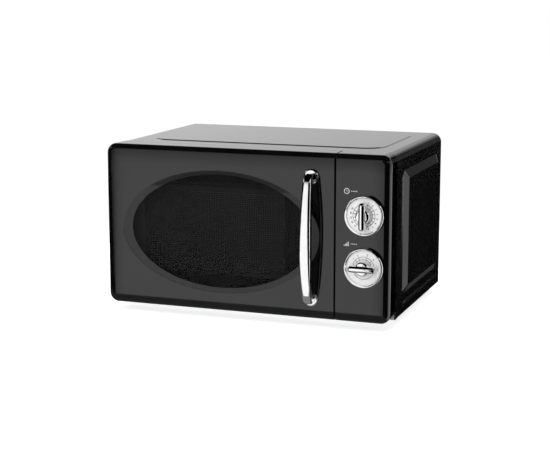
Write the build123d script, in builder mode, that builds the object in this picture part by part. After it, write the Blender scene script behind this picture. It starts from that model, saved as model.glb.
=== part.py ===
from build123d import *
import math
import os

# Retro countertop microwave oven: swinging door with an oval window, two dials, turntable.
# Millimetres, +Z up, the door faces -Y. The origin is on the floor, under the middle of the oven
# with its handle.

# Front: door and control panel share one rounded outline
FRONT_W = 440.0
FRONT_H = 242.0
FRONT_DEPTH = 34.0
FRONT_CORNER_R = 14.0
FRONT_EDGE_R = 9.0
SHELL_WALL = 3.0
PANEL_W = 80.0
PANEL_GAP = 1.6
GAP_EDGE_R = 0.8
DOOR_GAP = 1.6

# Cabinet
BODY_DEPTH = 307.0
FOOT_H = 14.0
SHEET = 0.8
PLATE = 1.0
COVER_INSET = 1.0
COVER_R = 14.0
COVER_FLANGE = 14.0
COVER_FLANGE_R = 4.0
FRAME_FLANGE = 10.0
BASE_FLANGE = 12.0

# Raised rectangles of the cover, placed from the door face, the rear, the floor of the case and the top
SIDE_PAD_RISE = 5.0
SIDE_PAD_RUN = 12.0
SIDE_PAD_CORNER_R = 7.0
PAD_FROM_FACE = 76.0
PAD_FROM_REAR = 29.0
SIDE_PAD_FROM_BASE = 29.0
SIDE_PAD_FROM_TOP = 30.0
TOP_PAD_RISE = 1.0
TOP_PAD_RUN = 3.0
TOP_PAD_CORNER_R = 34.0
TOP_PAD_FROM_SIDE = 33.0
PAD_CREST_R = 2.0
BEAD_RISE = 1.0
BEAD_RUN = 1.6
BEAD_W = 4.8
BEAD_CORNER_R = 2.2
BEAD_CREST_R = 0.6
BEAD_FROM_BASE = 15.0
BEAD_FROM_FACE = 84.0
BEAD_FROM_REAR = 16.0

# Rolled hem at the front edge of the cover
HEM_W = 9.0
HEM_RISE = 0.8

# Feet
FOOT_R = 12.0
FOOT_TIP_R = 10.0
FOOT_STUD_R = 4.0
FOOT_STUD_H = 4.0
FOOT_FROM_SIDE = 48.0
FOOT_FROM_FACE = 86.0
FOOT_FROM_REAR = 40.0

# Clearances
FIT = 0.3
SHAFT_FIT = 0.05

# Oval window
OVAL_A = 154.5
OVAL_B = 90.6
OVAL_BEVEL_SIDE = 13.4
OVAL_BEVEL_TOP = 6.6
OVAL_DEPTH = 4.8
OVAL_SHIFT = 2.7
OVAL_DROP = 2.4
OVAL_RIM = 3.5
PANE_T = 3.0
PANE_LIP = 5.0

# Steel door pan with its choke channel, screen and covers, depths from the door face
PAN_DEPTH = 18.0
PAN_CHANNEL = 13.0
PAN_LEFT_MARGIN = 14.0
PAN_RIGHT_MARGIN = 16.4
PAN_MARGIN = 6.0
PAN_CORNER_R = 6.0
CHOKE_W = 17.0
CHOKE_SLOT_W = 3.0
CHOKE_SLOT_PITCH = 24.0
CHOKE_SLOT_DEPTH = 7.0
INNER_PLATE_DEPTH = 27.0
SCREEN_W = 218.0
SCREEN_H = 125.0
SCREEN_SHIFT = -12.0
SCREEN_DROP = 9.0
SCREEN_LAP = 6.0
INNER_WINDOW_T = 1.5
INNER_WINDOW_LAP = 10.0
CHOKE_COVER_T = 2.0
POST_R = 4.0

# Door hinge, on a vertical axis near the rear left edge of the door
HINGE_INSET = 7.0
HINGE_CHAMFER = 2.8
HINGE_BOSS_R = 5.6
HINGE_BOSS_L = 16.0
HINGE_PIN_R = 3.0
HINGE_PIN_L = 12.0
TONGUE_INSET = 14.0
TONGUE_T = 2.0
TONGUE_HALF_W = 4.0
TONGUE_SWEEP = 6.5
HINGE_LEG_H = 30.0
HINGE_LEG_T = 1.5

# Handle
HANDLE_REACH = 33.0
HANDLE_FROM_EDGE = 34.2
HANDLE_PITCH = 178.0
HANDLE_DROP = 2.0
BAR_W = 16.5
BAR_T = 12.5
BAR_END_W = 11.5
BAR_END_T = 10.5
BAR_CORNER_R = 3.6
BAR_SECTIONS = 41
BAR_NECK = 17.0
BAR_BEND_R = 9.0
ROSETTE_R = 11.0
ROSETTE_T = 4.0
ROSETTE_EDGE_R = 2.5
HANDLE_SCREW_R = 2.0
HANDLE_SCREW_HEAD_R = 4.0
HANDLE_SCREW_HEAD_T = 2.5
HANDLE_SCREW_BITE = 5.0

# Latch hook that slides up in the door, with two noses that drop behind the front plate
HOOK_T = 5.0
HOOK_STRIP_W = 11.0
HOOK_STRIP_FROM_FACE = 18.0
HOOK_SPREAD = 120.0
HOOK_STRIP_END = 14.0
HOOK_ARM_H = 8.0
HOOK_REACH = 20.0
NOSE_START = 2.0
NOSE_DROP = 3.0
NOSE_RAMP = 9.0
HOOK_LIFT = 5.0
HOOK_SLOT_SIDE = 2.6
CATCH_GAP = 0.5
SPRING_R = 2.6
SPRING_WIRE_R = 0.45
SPRING_TURNS = 7
SPRING_H = 16.0
SHELF_T = 3.0

# Interlock
LATCH_WALL = 3.0
LATCH_HALF_W = 13.0
LATCH_DEPTH = 36.0
LATCH_END = 22.0
SWITCH_W = 6.4
SWITCH_H = 16.0
SWITCH_DEPTH = 20.0
SWITCH_GAP = 0.6
TERMINAL_T = 0.8
TERMINAL_W = 4.8
TERMINAL_L = 7.0
PLUNGER_R = 1.2
PLUNGER_OUT = 1.0
PLUNGER_L = 6.0

# Dials and knobs
DIAL_SHIFT = 3.1
TIMER_HEIGHT = 156.6
POWER_HEIGHT = 81.7
BEZEL_R = 28.8
BEZEL_RING = 3.4
BEZEL_PROUD = 7.4
BEZEL_ROUND_R = 1.8
BEZEL_STEP = 1.2
DIAL_T = 4.2
KNOB_GAP = 0.6
KNOB_REACH = 20.0
KNOB_HUB_R = 10.5
KNOB_HUB_H = 10.0
KNOB_HUB_EDGE_R = 3.0
GRIP_L = 41.0
GRIP_W = 10.4
GRIP_DRAFT = 4.0
GRIP_EDGE_R = 2.0
KNOB_SHAFT_R = 3.0
KNOB_SHAFT_BITE = 8.0
KNOB_SHAFT_TAIL = 12.0
UNIT_STANDOFF = 8.0
TIMER_UNIT_W = 52.0
TIMER_UNIT_DEPTH = 40.0
POWER_UNIT_W = 44.0
POWER_UNIT_DEPTH = 30.0
UNIT_CORNER_R = 5.0
UNIT_BOSS_R = 4.0
UNIT_BOSS_INSET = 6.0
UNIT_MOTOR_R = 17.0
UNIT_MOTOR_H = 12.0
WINDOW_MARGIN = 4.0

# Oven cavity, placed from the door's edges, the base, the top and the rear
CAVITY_FROM_LEFT = 24.0
CAVITY_FROM_RIGHT = 34.4
CAVITY_FROM_BASE = 20.0
CAVITY_FROM_TOP = 22.0
CAVITY_FROM_REAR = 9.0
CAVITY_R = 10.0

# Turntable
TRAY_R = 122.0
TRAY_FLAT_R = 104.0
TRAY_T = 4.5
TRAY_RIM_H = 12.0
TRAY_RIM_W = 3.0
LUG_R = 3.0
LUG_H = 2.5
LUG_PITCH_R = 13.0
RING_R = 86.0
RING_W = 6.0
RING_T = 5.0
ROLLER_R = 8.5
ROLLER_W = 6.0
ROLLER_PIN_R = 2.0
ROLLER_PIN_L = 9.0
ROLLER_COUNT = 3
COUPLER_R = 9.0
COUPLER_ARM_L = 18.0
COUPLER_ARM_W = 7.0
COUPLER_SHAFT_R = 3.5
COUPLER_SHAFT_BITE = 9.0
TT_MOTOR_R = 25.0
TT_MOTOR_H = 14.0
TT_EAR_L = 68.0
TT_EAR_W = 14.0
TT_EAR_T = 1.5

# Microwave source beside the cavity, depths from the front plate, heights from the base
GUIDE_W = 30.0
GUIDE_L = 100.0
GUIDE_H = 80.0
GUIDE_FROM_FRONT = 92.0
GUIDE_FROM_BASE = 110.0
GUIDE_MARGIN = 14.0
MICA_LAP = 8.0
YOKE_W = 56.0
YOKE_L = 92.0
YOKE_H = 72.0
YOKE_T = 2.0
ANODE_R = 19.0
ANODE_FINS = 6
FIN_T = 0.8
FIN_H = 62.0
FIN_L = 84.0
ANTENNA_R = 8.0
ANTENNA_L = 18.0
FILTER_BOX_W = 20.0
FILTER_BOX_L = 56.0
FILTER_BOX_H = 44.0
CORE_W = 86.0
CORE_L = 62.0
CORE_H = 72.0
CORE_LEG = 14.0
CORE_FROM_FRONT = 62.0
COIL_OVERHANG = 12.0
COIL_GAP = 4.0
CAN_W = 52.0
CAN_H = 33.0
CAN_L = 84.0
CAN_FROM_REAR = 22.0
CAN_LIFT = 4.0
STRAP_T = 1.2
STRAP_W = 14.0
STRAP_EAR = 9.0
DIODE_R = 4.0
DIODE_L = 20.0
DIODE_TAB_T = 1.5
CUTOUT_R = 8.0
CUTOUT_H = 7.0
CUTOUT_FLANGE_L = 26.0
CUTOUT_FLANGE_W = 12.0
CUTOUT_FLANGE_T = 1.0

# Fan behind the magnetron, on the rear panel
FAN_R = 42.0
FAN_HUB_R = 11.0
FAN_HUB_L = 16.0
FAN_BLADES = 6
FAN_BLADE_T = 1.2
FAN_BLADE_CHORD = 20.0
FAN_ROOT_PITCH = 52.0
FAN_TIP_PITCH = 28.0
FAN_HEIGHT = 178.0
FAN_TIP_GAP = 1.6
SHROUD_WALL = 2.0
SHROUD_DEPTH = 28.0
SHROUD_FLANGE = 96.0
FAN_ARM_W = 10.0
FAN_ARM_T = 3.0
FAN_MOTOR_W = 48.0
FAN_MOTOR_T = 20.0
FAN_SHAFT_R = 2.0
FAN_SHAFT_BITE = 12.0

# Small things inside
LAMP_R = 9.0
LAMP_L = 24.0
LAMP_NECK_R = 6.5
LAMP_HOLDER_T = 6.0
LAMP_FROM_REAR = 52.0
LAMP_FROM_TOP = 14.0
LAMP_PLATE_T = 1.2
LAMP_HOLE_R = 2.2
LAMP_HOLE_PITCH = 7.0
BOARD_W = 44.0
BOARD_H = 62.0
BOARD_T = 1.6
BOARD_STANDOFF = 5.0
BOARD_HEIGHT = 72.0
FUSE_R = 3.0
FUSE_L = 24.0
CHOKE_COIL_R = 9.0
CHOKE_COIL_H = 12.0

# Rear panel
VENT_L = 26.0
VENT_W = 4.0
VENT_PITCH = 8.0
VENT_ROWS = 9
VENT_COLUMNS = 3
INLET_R = 6.0
INLET_FLANGE_R = 9.0
INLET_T = 2.0
INLET_BORE_R = 3.6
INLET_HEIGHT = 36.0
INLET_FROM_SIDE = 30.0
SCREW_R = 1.8
SCREW_HEAD_R = 4.0
SCREW_HEAD_T = 2.0
SCREW_L = 8.0

# Places worked out from the sizes above
Y_FACE = (HANDLE_REACH - BODY_DEPTH - SCREW_HEAD_T) / 2
Y_REAR = Y_FACE + BODY_DEPTH
Y_DOOR_BACK = Y_FACE + FRONT_DEPTH
Y_CASE = Y_DOOR_BACK + DOOR_GAP
Y_INSIDE = Y_CASE + PLATE
Y_PANEL_IN = Y_REAR - SHEET - PLATE
Z_BASE = FOOT_H
Z_TOP = FOOT_H + FRONT_H
Z_MID = FOOT_H + FRONT_H / 2
Z_DECK = Z_BASE + PLATE
COVER_HALF_W = FRONT_W / 2 - COVER_INSET
Z_COVER = Z_TOP - COVER_INSET
CASE_HALF_W = COVER_HALF_W - SHEET

DOOR_LEFT = -FRONT_W / 2
DOOR_RIGHT = FRONT_W / 2 - PANEL_W - PANEL_GAP
PANEL_LEFT = FRONT_W / 2 - PANEL_W
PANEL_RIGHT = FRONT_W / 2
DIAL_X = (PANEL_LEFT + PANEL_RIGHT) / 2 + DIAL_SHIFT
TIMER_Z = Z_BASE + TIMER_HEIGHT
POWER_Z = Z_BASE + POWER_HEIGHT
OVAL_X = (DOOR_LEFT + DOOR_RIGHT) / 2 + OVAL_SHIFT
OVAL_Z = Z_MID - OVAL_DROP
Y_PANE = Y_FACE + OVAL_DEPTH

PAN_LEFT = DOOR_LEFT + PAN_LEFT_MARGIN
PAN_RIGHT = DOOR_RIGHT - PAN_RIGHT_MARGIN
PAN_W = PAN_RIGHT - PAN_LEFT
PAN_H = FRONT_H - 2 * PAN_MARGIN
PAN_X = (PAN_LEFT + PAN_RIGHT) / 2
Y_PAN = Y_FACE + PAN_DEPTH
Y_PAN_BACK = Y_PAN + PAN_CHANNEL
Y_INNER_PLATE = Y_FACE + INNER_PLATE_DEPTH
INNER_W = PAN_W - 2 * CHOKE_W
INNER_H = PAN_H - 2 * CHOKE_W
SCREEN_X = PAN_X + SCREEN_SHIFT
SCREEN_Z = Z_MID - SCREEN_DROP

HINGE_X = DOOR_LEFT + HINGE_INSET
HINGE_Y = Y_DOOR_BACK - HINGE_INSET
HANDLE_X = DOOR_RIGHT - HANDLE_FROM_EDGE
HANDLE_Z = Z_MID - HANDLE_DROP
HANDLE_ENDS = (HANDLE_Z - HANDLE_PITCH / 2, HANDLE_Z + HANDLE_PITCH / 2)

HOOK_X = PAN_RIGHT + FIT
HOOK_MID_X = HOOK_X + HOOK_T / 2
Y_HOOK_FRONT = Y_FACE + HOOK_STRIP_FROM_FACE
Y_HOOK_BACK = Y_HOOK_FRONT + HOOK_STRIP_W
Y_HOOK_TIP = Y_INSIDE + HOOK_REACH
HOOK_HEIGHTS = (Z_MID - HOOK_SPREAD / 2, Z_MID + HOOK_SPREAD / 2)
HOOK_STRIP_H = HOOK_SPREAD + 2 * HOOK_STRIP_END
SLOT_BELOW = HOOK_ARM_H / 2 + CATCH_GAP
SLOT_ABOVE = HOOK_ARM_H / 2 + HOOK_LIFT + CATCH_GAP
SLOT_W = HOOK_T + 2 * HOOK_SLOT_SIDE
Y_SWITCH = Y_HOOK_TIP + FIT + PLUNGER_OUT

CAVITY_LEFT = DOOR_LEFT + CAVITY_FROM_LEFT
CAVITY_RIGHT = DOOR_RIGHT - CAVITY_FROM_RIGHT
CAVITY_W = CAVITY_RIGHT - CAVITY_LEFT
CAVITY_FLOOR = Z_BASE + CAVITY_FROM_BASE
CAVITY_TOP = Z_TOP - CAVITY_FROM_TOP
CAVITY_H = CAVITY_TOP - CAVITY_FLOOR
CAVITY_BACK = Y_REAR - CAVITY_FROM_REAR
CAVITY_X = (CAVITY_LEFT + CAVITY_RIGHT) / 2
CAVITY_Z = (CAVITY_FLOOR + CAVITY_TOP) / 2
CAVITY_WALL_X = CAVITY_RIGHT + PLATE
TURN_X = CAVITY_X
TURN_Y = (Y_INSIDE + CAVITY_BACK) / 2
ROLLER_AXIS_Z = CAVITY_FLOOR + FIT + ROLLER_R
TRAY_Z = ROLLER_AXIS_Z + ROLLER_R + FIT
ROLLER_START_R = RING_R + RING_W / 2 + FIT

BAY_X = (CAVITY_WALL_X + CASE_HALF_W) / 2
GUIDE_Y = Y_INSIDE + GUIDE_FROM_FRONT + GUIDE_L / 2
GUIDE_Z = Z_BASE + GUIDE_FROM_BASE + GUIDE_H / 2
YOKE_X = CAVITY_WALL_X + GUIDE_W
FAN_Z = Z_BASE + FAN_HEIGHT
Y_SHROUD = Y_PANEL_IN - SHROUD_DEPTH
SHROUD_R = FAN_R + FAN_TIP_GAP
Y_FAN_MOTOR = Y_SHROUD - FAN_ARM_T
CORE_Y = Y_INSIDE + CORE_FROM_FRONT + CORE_L / 2
CAN_X = CASE_HALF_W - PLATE - STRAP_EAR - STRAP_T - FIT - CAN_W / 2
CAN_Y = Y_PANEL_IN - CAN_FROM_REAR - CAN_L / 2
CAN_Z = Z_DECK + CAN_LIFT + CAN_H / 2
LAMP_Y = Y_PANEL_IN - LAMP_FROM_REAR
LAMP_Z = CAVITY_TOP - LAMP_FROM_TOP
BOARD_X = CAVITY_WALL_X + FIT + BOARD_W / 2
BOARD_Z = Z_BASE + BOARD_HEIGHT
INLET_X = CASE_HALF_W - INLET_FROM_SIDE
INLET_Z = Z_BASE + INLET_HEIGHT


def facing_front(y):
    """Plane at depth y: sketch x is X, sketch y is Z, and an extrusion runs towards the front."""
    return Plane.XZ.offset(-y)


def facing_right(x):
    """Plane at x: sketch x is Y, sketch y is Z, and an extrusion runs to the right."""
    return Plane.YZ.offset(x)


def facing_up(z):
    """Plane at height z: sketch x is X, sketch y is Y, and an extrusion runs up."""
    return Plane.XY.offset(z)


def write(piece, name):
    """Labels a finished piece and writes its own file."""
    piece.part.label = name
    export_step(piece.part, f"parts/{name}.step")


def front_block(inset, x_from, x_to, y_back):
    """Slice of the rounded front between two X limits, shrunk by inset on all but its back."""
    with BuildPart() as block:
        with BuildSketch(facing_front(y_back)):
            with Locations((0, Z_MID)):
                RectangleRounded(FRONT_W - 2 * inset, FRONT_H - 2 * inset, FRONT_CORNER_R - inset)
        extrude(amount=y_back - Y_FACE - inset)
        fillet(block.faces().sort_by(Axis.Y)[0].edges(), FRONT_EDGE_R - inset)
        with Locations(((x_from + x_to) / 2, (Y_FACE + y_back) / 2, Z_MID)):
            Box(x_to - x_from, y_back - Y_FACE, FRONT_H, mode=Mode.INTERSECT)
    return block.part


def round_cut(block, cut_face):
    """The block with a small round along the edges of its cut face, all but the one at the back."""
    return block.fillet(GAP_EDGE_R, cut_face.edges().sort_by(Axis.Y)[:-1])


def case_outline(inset, radius):
    """Outline of the case seen from the front, square below and rounded above."""
    height = Z_COVER - inset - Z_BASE
    with BuildSketch() as outline:
        with Locations((0, Z_BASE + height / 2)):
            Rectangle(2 * (COVER_HALF_W - inset), height)
        fillet(outline.vertices().group_by(Axis.Y)[-1], radius)
    return outline.sketch


def outside_cover(point):
    """True for a point on the hem, which stands proud of the cover's sides and top."""
    return abs(point.X) > COVER_HALF_W or point.Z > Z_COVER


def raised_pad(plane, middle, size, slope, radii):
    """Embossed rectangle on a plane: size at its foot, slope as rise and run, foot and crest radii."""
    width, height = size
    rise, run = slope
    with BuildPart() as pad:
        with BuildSketch(plane):
            with Locations(middle):
                RectangleRounded(width, height, radii[0])
        with BuildSketch(plane.offset(rise)):
            with Locations(middle):
                RectangleRounded(width - 2 * run, height - 2 * run, radii[1])
        loft()
    return pad.part


os.makedirs("parts", exist_ok=True)

# Outer cover: bent sheet with a front hem, a rear flange, raised rectangles and stiffening beads
cover_outside = case_outline(0, COVER_R)
hem_outside = case_outline(-HEM_RISE, COVER_R + HEM_RISE)
cover_inside = case_outline(SHEET, COVER_R - SHEET)
flange_inside = case_outline(COVER_FLANGE, COVER_FLANGE_R)
frame_inside = case_outline(SHEET + PLATE, COVER_R - SHEET - PLATE)
pad_y = (Y_FACE + PAD_FROM_FACE + Y_REAR - PAD_FROM_REAR) / 2
pad_l = BODY_DEPTH - PAD_FROM_FACE - PAD_FROM_REAR
side_pad_h = FRONT_H - SIDE_PAD_FROM_BASE - SIDE_PAD_FROM_TOP
side_pad_z = Z_BASE + SIDE_PAD_FROM_BASE + side_pad_h / 2
top_pad_w = 2 * (COVER_HALF_W - TOP_PAD_FROM_SIDE)
bead_y = (Y_FACE + BEAD_FROM_FACE + Y_REAR - BEAD_FROM_REAR) / 2
bead_l = BODY_DEPTH - BEAD_FROM_FACE - BEAD_FROM_REAR
pads_outside = []
pads_inside = []
for pads, sink in ((pads_outside, 0), (pads_inside, SHEET)):
    right_plane = facing_right(COVER_HALF_W - sink)
    right_pad = raised_pad(
        right_plane,
        (pad_y, side_pad_z),
        (pad_l, side_pad_h),
        (SIDE_PAD_RISE, SIDE_PAD_RUN),
        (SIDE_PAD_CORNER_R, PAD_CREST_R),
    )
    right_bead = raised_pad(
        right_plane,
        (bead_y, Z_BASE + BEAD_FROM_BASE),
        (bead_l, BEAD_W),
        (BEAD_RISE, BEAD_RUN),
        (BEAD_CORNER_R, BEAD_CREST_R),
    )
    top_pad = raised_pad(
        facing_up(Z_COVER - sink),
        (0, pad_y),
        (top_pad_w, pad_l),
        (TOP_PAD_RISE, TOP_PAD_RUN),
        (TOP_PAD_CORNER_R, TOP_PAD_CORNER_R - TOP_PAD_RUN),
    )
    pads.append(top_pad)
    for right_piece in (right_pad, right_bead):
        pads.extend([right_piece, mirror(right_piece, about=Plane.YZ)])

screw_spots = []
for side in (-1, 1):
    for share in (0.25, 0.75):
        screw_spots.append((side * (COVER_HALF_W - COVER_FLANGE / 2), Z_BASE + share * FRONT_H))
    screw_spots.append((side * COVER_HALF_W / 2, Z_COVER - COVER_FLANGE / 2))

with BuildPart() as outer_cover:
    with BuildSketch(facing_front(Y_REAR)):
        add(cover_outside)
        add(cover_inside, mode=Mode.SUBTRACT)
    extrude(amount=Y_REAR - Y_CASE)
    with BuildSketch(facing_front(Y_REAR)):
        add(cover_outside)
        add(flange_inside, mode=Mode.SUBTRACT)
    extrude(amount=SHEET)
    with BuildSketch(facing_front(Y_CASE + HEM_W)):
        add(hem_outside)
        add(cover_inside, mode=Mode.SUBTRACT)
    extrude(amount=HEM_W)
    hem_edges = outer_cover.faces().sort_by(Axis.Y)[0].edges()
    fillet(hem_edges.filter_by(lambda edge: outside_cover(edge.center())), HEM_RISE)
    add(pads_outside)
    add(pads_inside, mode=Mode.SUBTRACT)
    with BuildSketch(facing_front(Y_REAR)):
        with Locations(*screw_spots):
            Circle(SCREW_R)
    extrude(amount=SHEET, mode=Mode.SUBTRACT)
write(outer_cover, "outer_cover")

# Front plate: face frame of the oven with the latch slots, hinge slots and control window
window_w = TIMER_UNIT_W + 2 * WINDOW_MARGIN
window_top = TIMER_Z + TIMER_UNIT_W / 2 + WINDOW_MARGIN
window_bottom = POWER_Z - POWER_UNIT_W / 2 - WINDOW_MARGIN
tongue_heights = (Z_BASE + TONGUE_INSET + TONGUE_T / 2, Z_TOP - TONGUE_INSET - TONGUE_T / 2)
with BuildPart() as front_plate:
    with BuildSketch(facing_front(Y_INSIDE)):
        add(cover_inside)
        with Locations((CAVITY_X, CAVITY_Z)):
            Rectangle(CAVITY_W, CAVITY_H, mode=Mode.SUBTRACT)
        with Locations((DIAL_X, (window_top + window_bottom) / 2)):
            Rectangle(window_w, window_top - window_bottom, mode=Mode.SUBTRACT)
        for hook_z in HOOK_HEIGHTS:
            with Locations((HOOK_MID_X, hook_z + (SLOT_ABOVE - SLOT_BELOW) / 2)):
                Rectangle(SLOT_W, SLOT_ABOVE + SLOT_BELOW, mode=Mode.SUBTRACT)
        with Locations(*((HINGE_X, z) for z in tongue_heights)):
            Rectangle(2 * (TONGUE_HALF_W + FIT), TONGUE_T + 2 * FIT, mode=Mode.SUBTRACT)
    extrude(amount=PLATE)
    with BuildSketch(facing_front(Y_INSIDE + FRAME_FLANGE)):
        add(cover_inside)
        add(frame_inside, mode=Mode.SUBTRACT)
    extrude(amount=FRAME_FLANGE)
write(front_plate, "front_plate")

# Rear panel: air slots in front of the fan, slots for the outgoing air, cord hole
with BuildPart() as rear_panel:
    with BuildSketch(facing_front(Y_REAR - SHEET)):
        add(cover_inside)
        with Locations((BAY_X, FAN_Z)):
            with GridLocations(VENT_L + VENT_W, VENT_PITCH, VENT_COLUMNS, VENT_ROWS):
                SlotOverall(VENT_L, VENT_W, mode=Mode.SUBTRACT)
        with Locations((CAVITY_X, CAVITY_TOP - VENT_ROWS * VENT_PITCH / 2)):
            with GridLocations(VENT_L + VENT_W, VENT_PITCH, VENT_COLUMNS, VENT_ROWS - 4):
                SlotOverall(VENT_L, VENT_W, mode=Mode.SUBTRACT)
        with Locations((INLET_X, INLET_Z)):
            Circle(INLET_R, mode=Mode.SUBTRACT)
        with Locations(*screw_spots):
            Circle(SCREW_R, mode=Mode.SUBTRACT)
    extrude(amount=PLATE)
write(rear_panel, "rear_panel")

with BuildPart() as cover_screws:
    with BuildSketch(facing_front(Y_REAR + SCREW_HEAD_T)):
        with Locations(*screw_spots):
            Circle(SCREW_HEAD_R)
    extrude(amount=SCREW_HEAD_T)
    with BuildSketch(facing_front(Y_REAR)):
        with Locations(*screw_spots):
            Circle(SCREW_R)
    extrude(amount=SCREW_L)
write(cover_screws, "cover_screws")

# Base plate: floor of the case with turned-up sides, air slots and holes for the feet
foot_x = COVER_HALF_W - FOOT_FROM_SIDE
foot_ys = (Y_FACE + FOOT_FROM_FACE, Y_REAR - FOOT_FROM_REAR)
foot_spots = [(side * foot_x, y) for side in (-1, 1) for y in foot_ys]
base_half_w = CASE_HALF_W - PLATE
base_l = Y_PANEL_IN - Y_INSIDE
with BuildPart() as base_plate:
    with BuildSketch(facing_up(Z_BASE)):
        with Locations((0, (Y_PANEL_IN + Y_INSIDE) / 2)):
            Rectangle(2 * base_half_w, base_l)
        with Locations(*foot_spots):
            Circle(FOOT_STUD_R, mode=Mode.SUBTRACT)
        with Locations((BAY_X, CORE_Y)):
            with GridLocations(VENT_L + VENT_W, VENT_PITCH, VENT_COLUMNS - 1, VENT_ROWS - 4):
                SlotOverall(VENT_L, VENT_W, mode=Mode.SUBTRACT)
    extrude(amount=PLATE)
    with BuildSketch(facing_up(Z_BASE)):
        for side in (-1, 1):
            with Locations((side * (base_half_w - PLATE / 2), (Y_PANEL_IN + Y_INSIDE) / 2)):
                Rectangle(PLATE, base_l)
    extrude(amount=BASE_FLANGE)
write(base_plate, "base_plate")

with BuildPart() as feet:
    with Locations(*((x, y, 0) for x, y in foot_spots)):
        Cone(FOOT_TIP_R, FOOT_R, FOOT_H, align=(Align.CENTER, Align.CENTER, Align.MIN))
    with Locations(*((x, y, FOOT_H) for x, y in foot_spots)):
        Cylinder(FOOT_STUD_R, FOOT_STUD_H, align=(Align.CENTER, Align.CENTER, Align.MIN))
write(feet, "feet")

with BuildPart() as cord_inlet:
    with BuildSketch(facing_front(Y_REAR - SHEET + INLET_T)):
        with Locations((INLET_X, INLET_Z)):
            Circle(INLET_FLANGE_R)
    extrude(amount=INLET_T)
    with BuildSketch(facing_front(Y_REAR - SHEET)):
        with Locations((INLET_X, INLET_Z)):
            Circle(INLET_R)
    extrude(amount=PLATE)
    with BuildSketch(facing_front(Y_PANEL_IN)):
        with Locations((INLET_X, INLET_Z)):
            Circle(INLET_FLANGE_R)
    extrude(amount=INLET_T)
    with BuildSketch(facing_front(Y_REAR - SHEET + INLET_T)):
        with Locations((INLET_X, INLET_Z)):
            Circle(INLET_BORE_R)
    extrude(amount=PLATE + 2 * INLET_T, mode=Mode.SUBTRACT)
write(cord_inlet, "cord_inlet")

# Oven cavity: wrap of top and sides, floor and rear wall, welded to the front plate
with BuildPart() as cavity_wrap:
    with BuildSketch(facing_front(CAVITY_BACK)) as wrap_section:
        with Locations((CAVITY_X, CAVITY_Z + PLATE / 2)):
            Rectangle(CAVITY_W + 2 * PLATE, CAVITY_H + PLATE)
        fillet(wrap_section.vertices().group_by(Axis.Z)[-1], CAVITY_R + PLATE)
        with BuildSketch(mode=Mode.SUBTRACT) as wrap_room:
            with Locations((CAVITY_X, CAVITY_Z)):
                Rectangle(CAVITY_W, CAVITY_H)
            fillet(wrap_room.vertices().group_by(Axis.Y)[-1], CAVITY_R)
    extrude(amount=CAVITY_BACK - Y_INSIDE)
    with BuildSketch(facing_right(CAVITY_RIGHT)):
        with Locations((GUIDE_Y, GUIDE_Z)):
            Rectangle(GUIDE_L - 2 * GUIDE_MARGIN, GUIDE_H - 2 * GUIDE_MARGIN)
        with Locations((LAMP_Y, LAMP_Z)):
            with GridLocations(LAMP_HOLE_PITCH, LAMP_HOLE_PITCH, 2, 2):
                Circle(LAMP_HOLE_R)
    extrude(amount=PLATE, mode=Mode.SUBTRACT)
write(cavity_wrap, "cavity_wrap")

with BuildPart() as cavity_floor:
    with BuildSketch(facing_up(CAVITY_FLOOR - PLATE)):
        with Locations((CAVITY_X, TURN_Y)):
            Rectangle(CAVITY_W + 2 * PLATE, CAVITY_BACK - Y_INSIDE)
        with Locations((TURN_X, TURN_Y)):
            Circle(COUPLER_SHAFT_R + FIT, mode=Mode.SUBTRACT)
    extrude(amount=PLATE)
write(cavity_floor, "cavity_floor")

with BuildPart() as cavity_rear:
    with BuildSketch(facing_front(CAVITY_BACK + PLATE)) as rear_wall:
        with Locations((CAVITY_X, CAVITY_Z)):
            Rectangle(CAVITY_W + 2 * PLATE, CAVITY_H + 2 * PLATE)
        fillet(rear_wall.vertices().group_by(Axis.Z)[-1], CAVITY_R + PLATE)
    extrude(amount=PLATE)
write(cavity_rear, "cavity_rear")

# Turntable: motor under the floor, coupler, roller ring with its rollers, glass tray
motor_z = CAVITY_FLOOR - PLATE - TT_MOTOR_H
with BuildPart() as turntable_motor:
    with BuildSketch(facing_up(motor_z)):
        with Locations((TURN_X, TURN_Y)):
            Circle(TT_MOTOR_R)
    extrude(amount=TT_MOTOR_H)
    with BuildSketch(facing_up(CAVITY_FLOOR - PLATE - TT_EAR_T)):
        with Locations((TURN_X, TURN_Y)):
            SlotOverall(TT_EAR_L, TT_EAR_W)
    extrude(amount=TT_EAR_T)
    with BuildSketch(facing_up(CAVITY_FLOOR - PLATE)):
        with Locations((TURN_X, TURN_Y)):
            Circle(COUPLER_SHAFT_R + SHAFT_FIT)
    extrude(amount=-(COUPLER_SHAFT_BITE + FIT), mode=Mode.SUBTRACT)
write(turntable_motor, "turntable_motor")

coupler_z = CAVITY_FLOOR + FIT + RING_T / 2
with BuildPart() as drive_coupler:
    with BuildSketch(facing_up(coupler_z)):
        with Locations((TURN_X, TURN_Y)):
            Circle(COUPLER_R)
            with PolarLocations(COUPLER_ARM_L / 2, ROLLER_COUNT):
                SlotOverall(COUPLER_ARM_L, COUPLER_ARM_W)
    extrude(amount=TRAY_Z - coupler_z)
    with BuildSketch(facing_up(CAVITY_FLOOR - PLATE - COUPLER_SHAFT_BITE)):
        with Locations((TURN_X, TURN_Y)):
            Circle(COUPLER_SHAFT_R)
    extrude(amount=PLATE + COUPLER_SHAFT_BITE + coupler_z - CAVITY_FLOOR)
write(drive_coupler, "drive_coupler")

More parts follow.
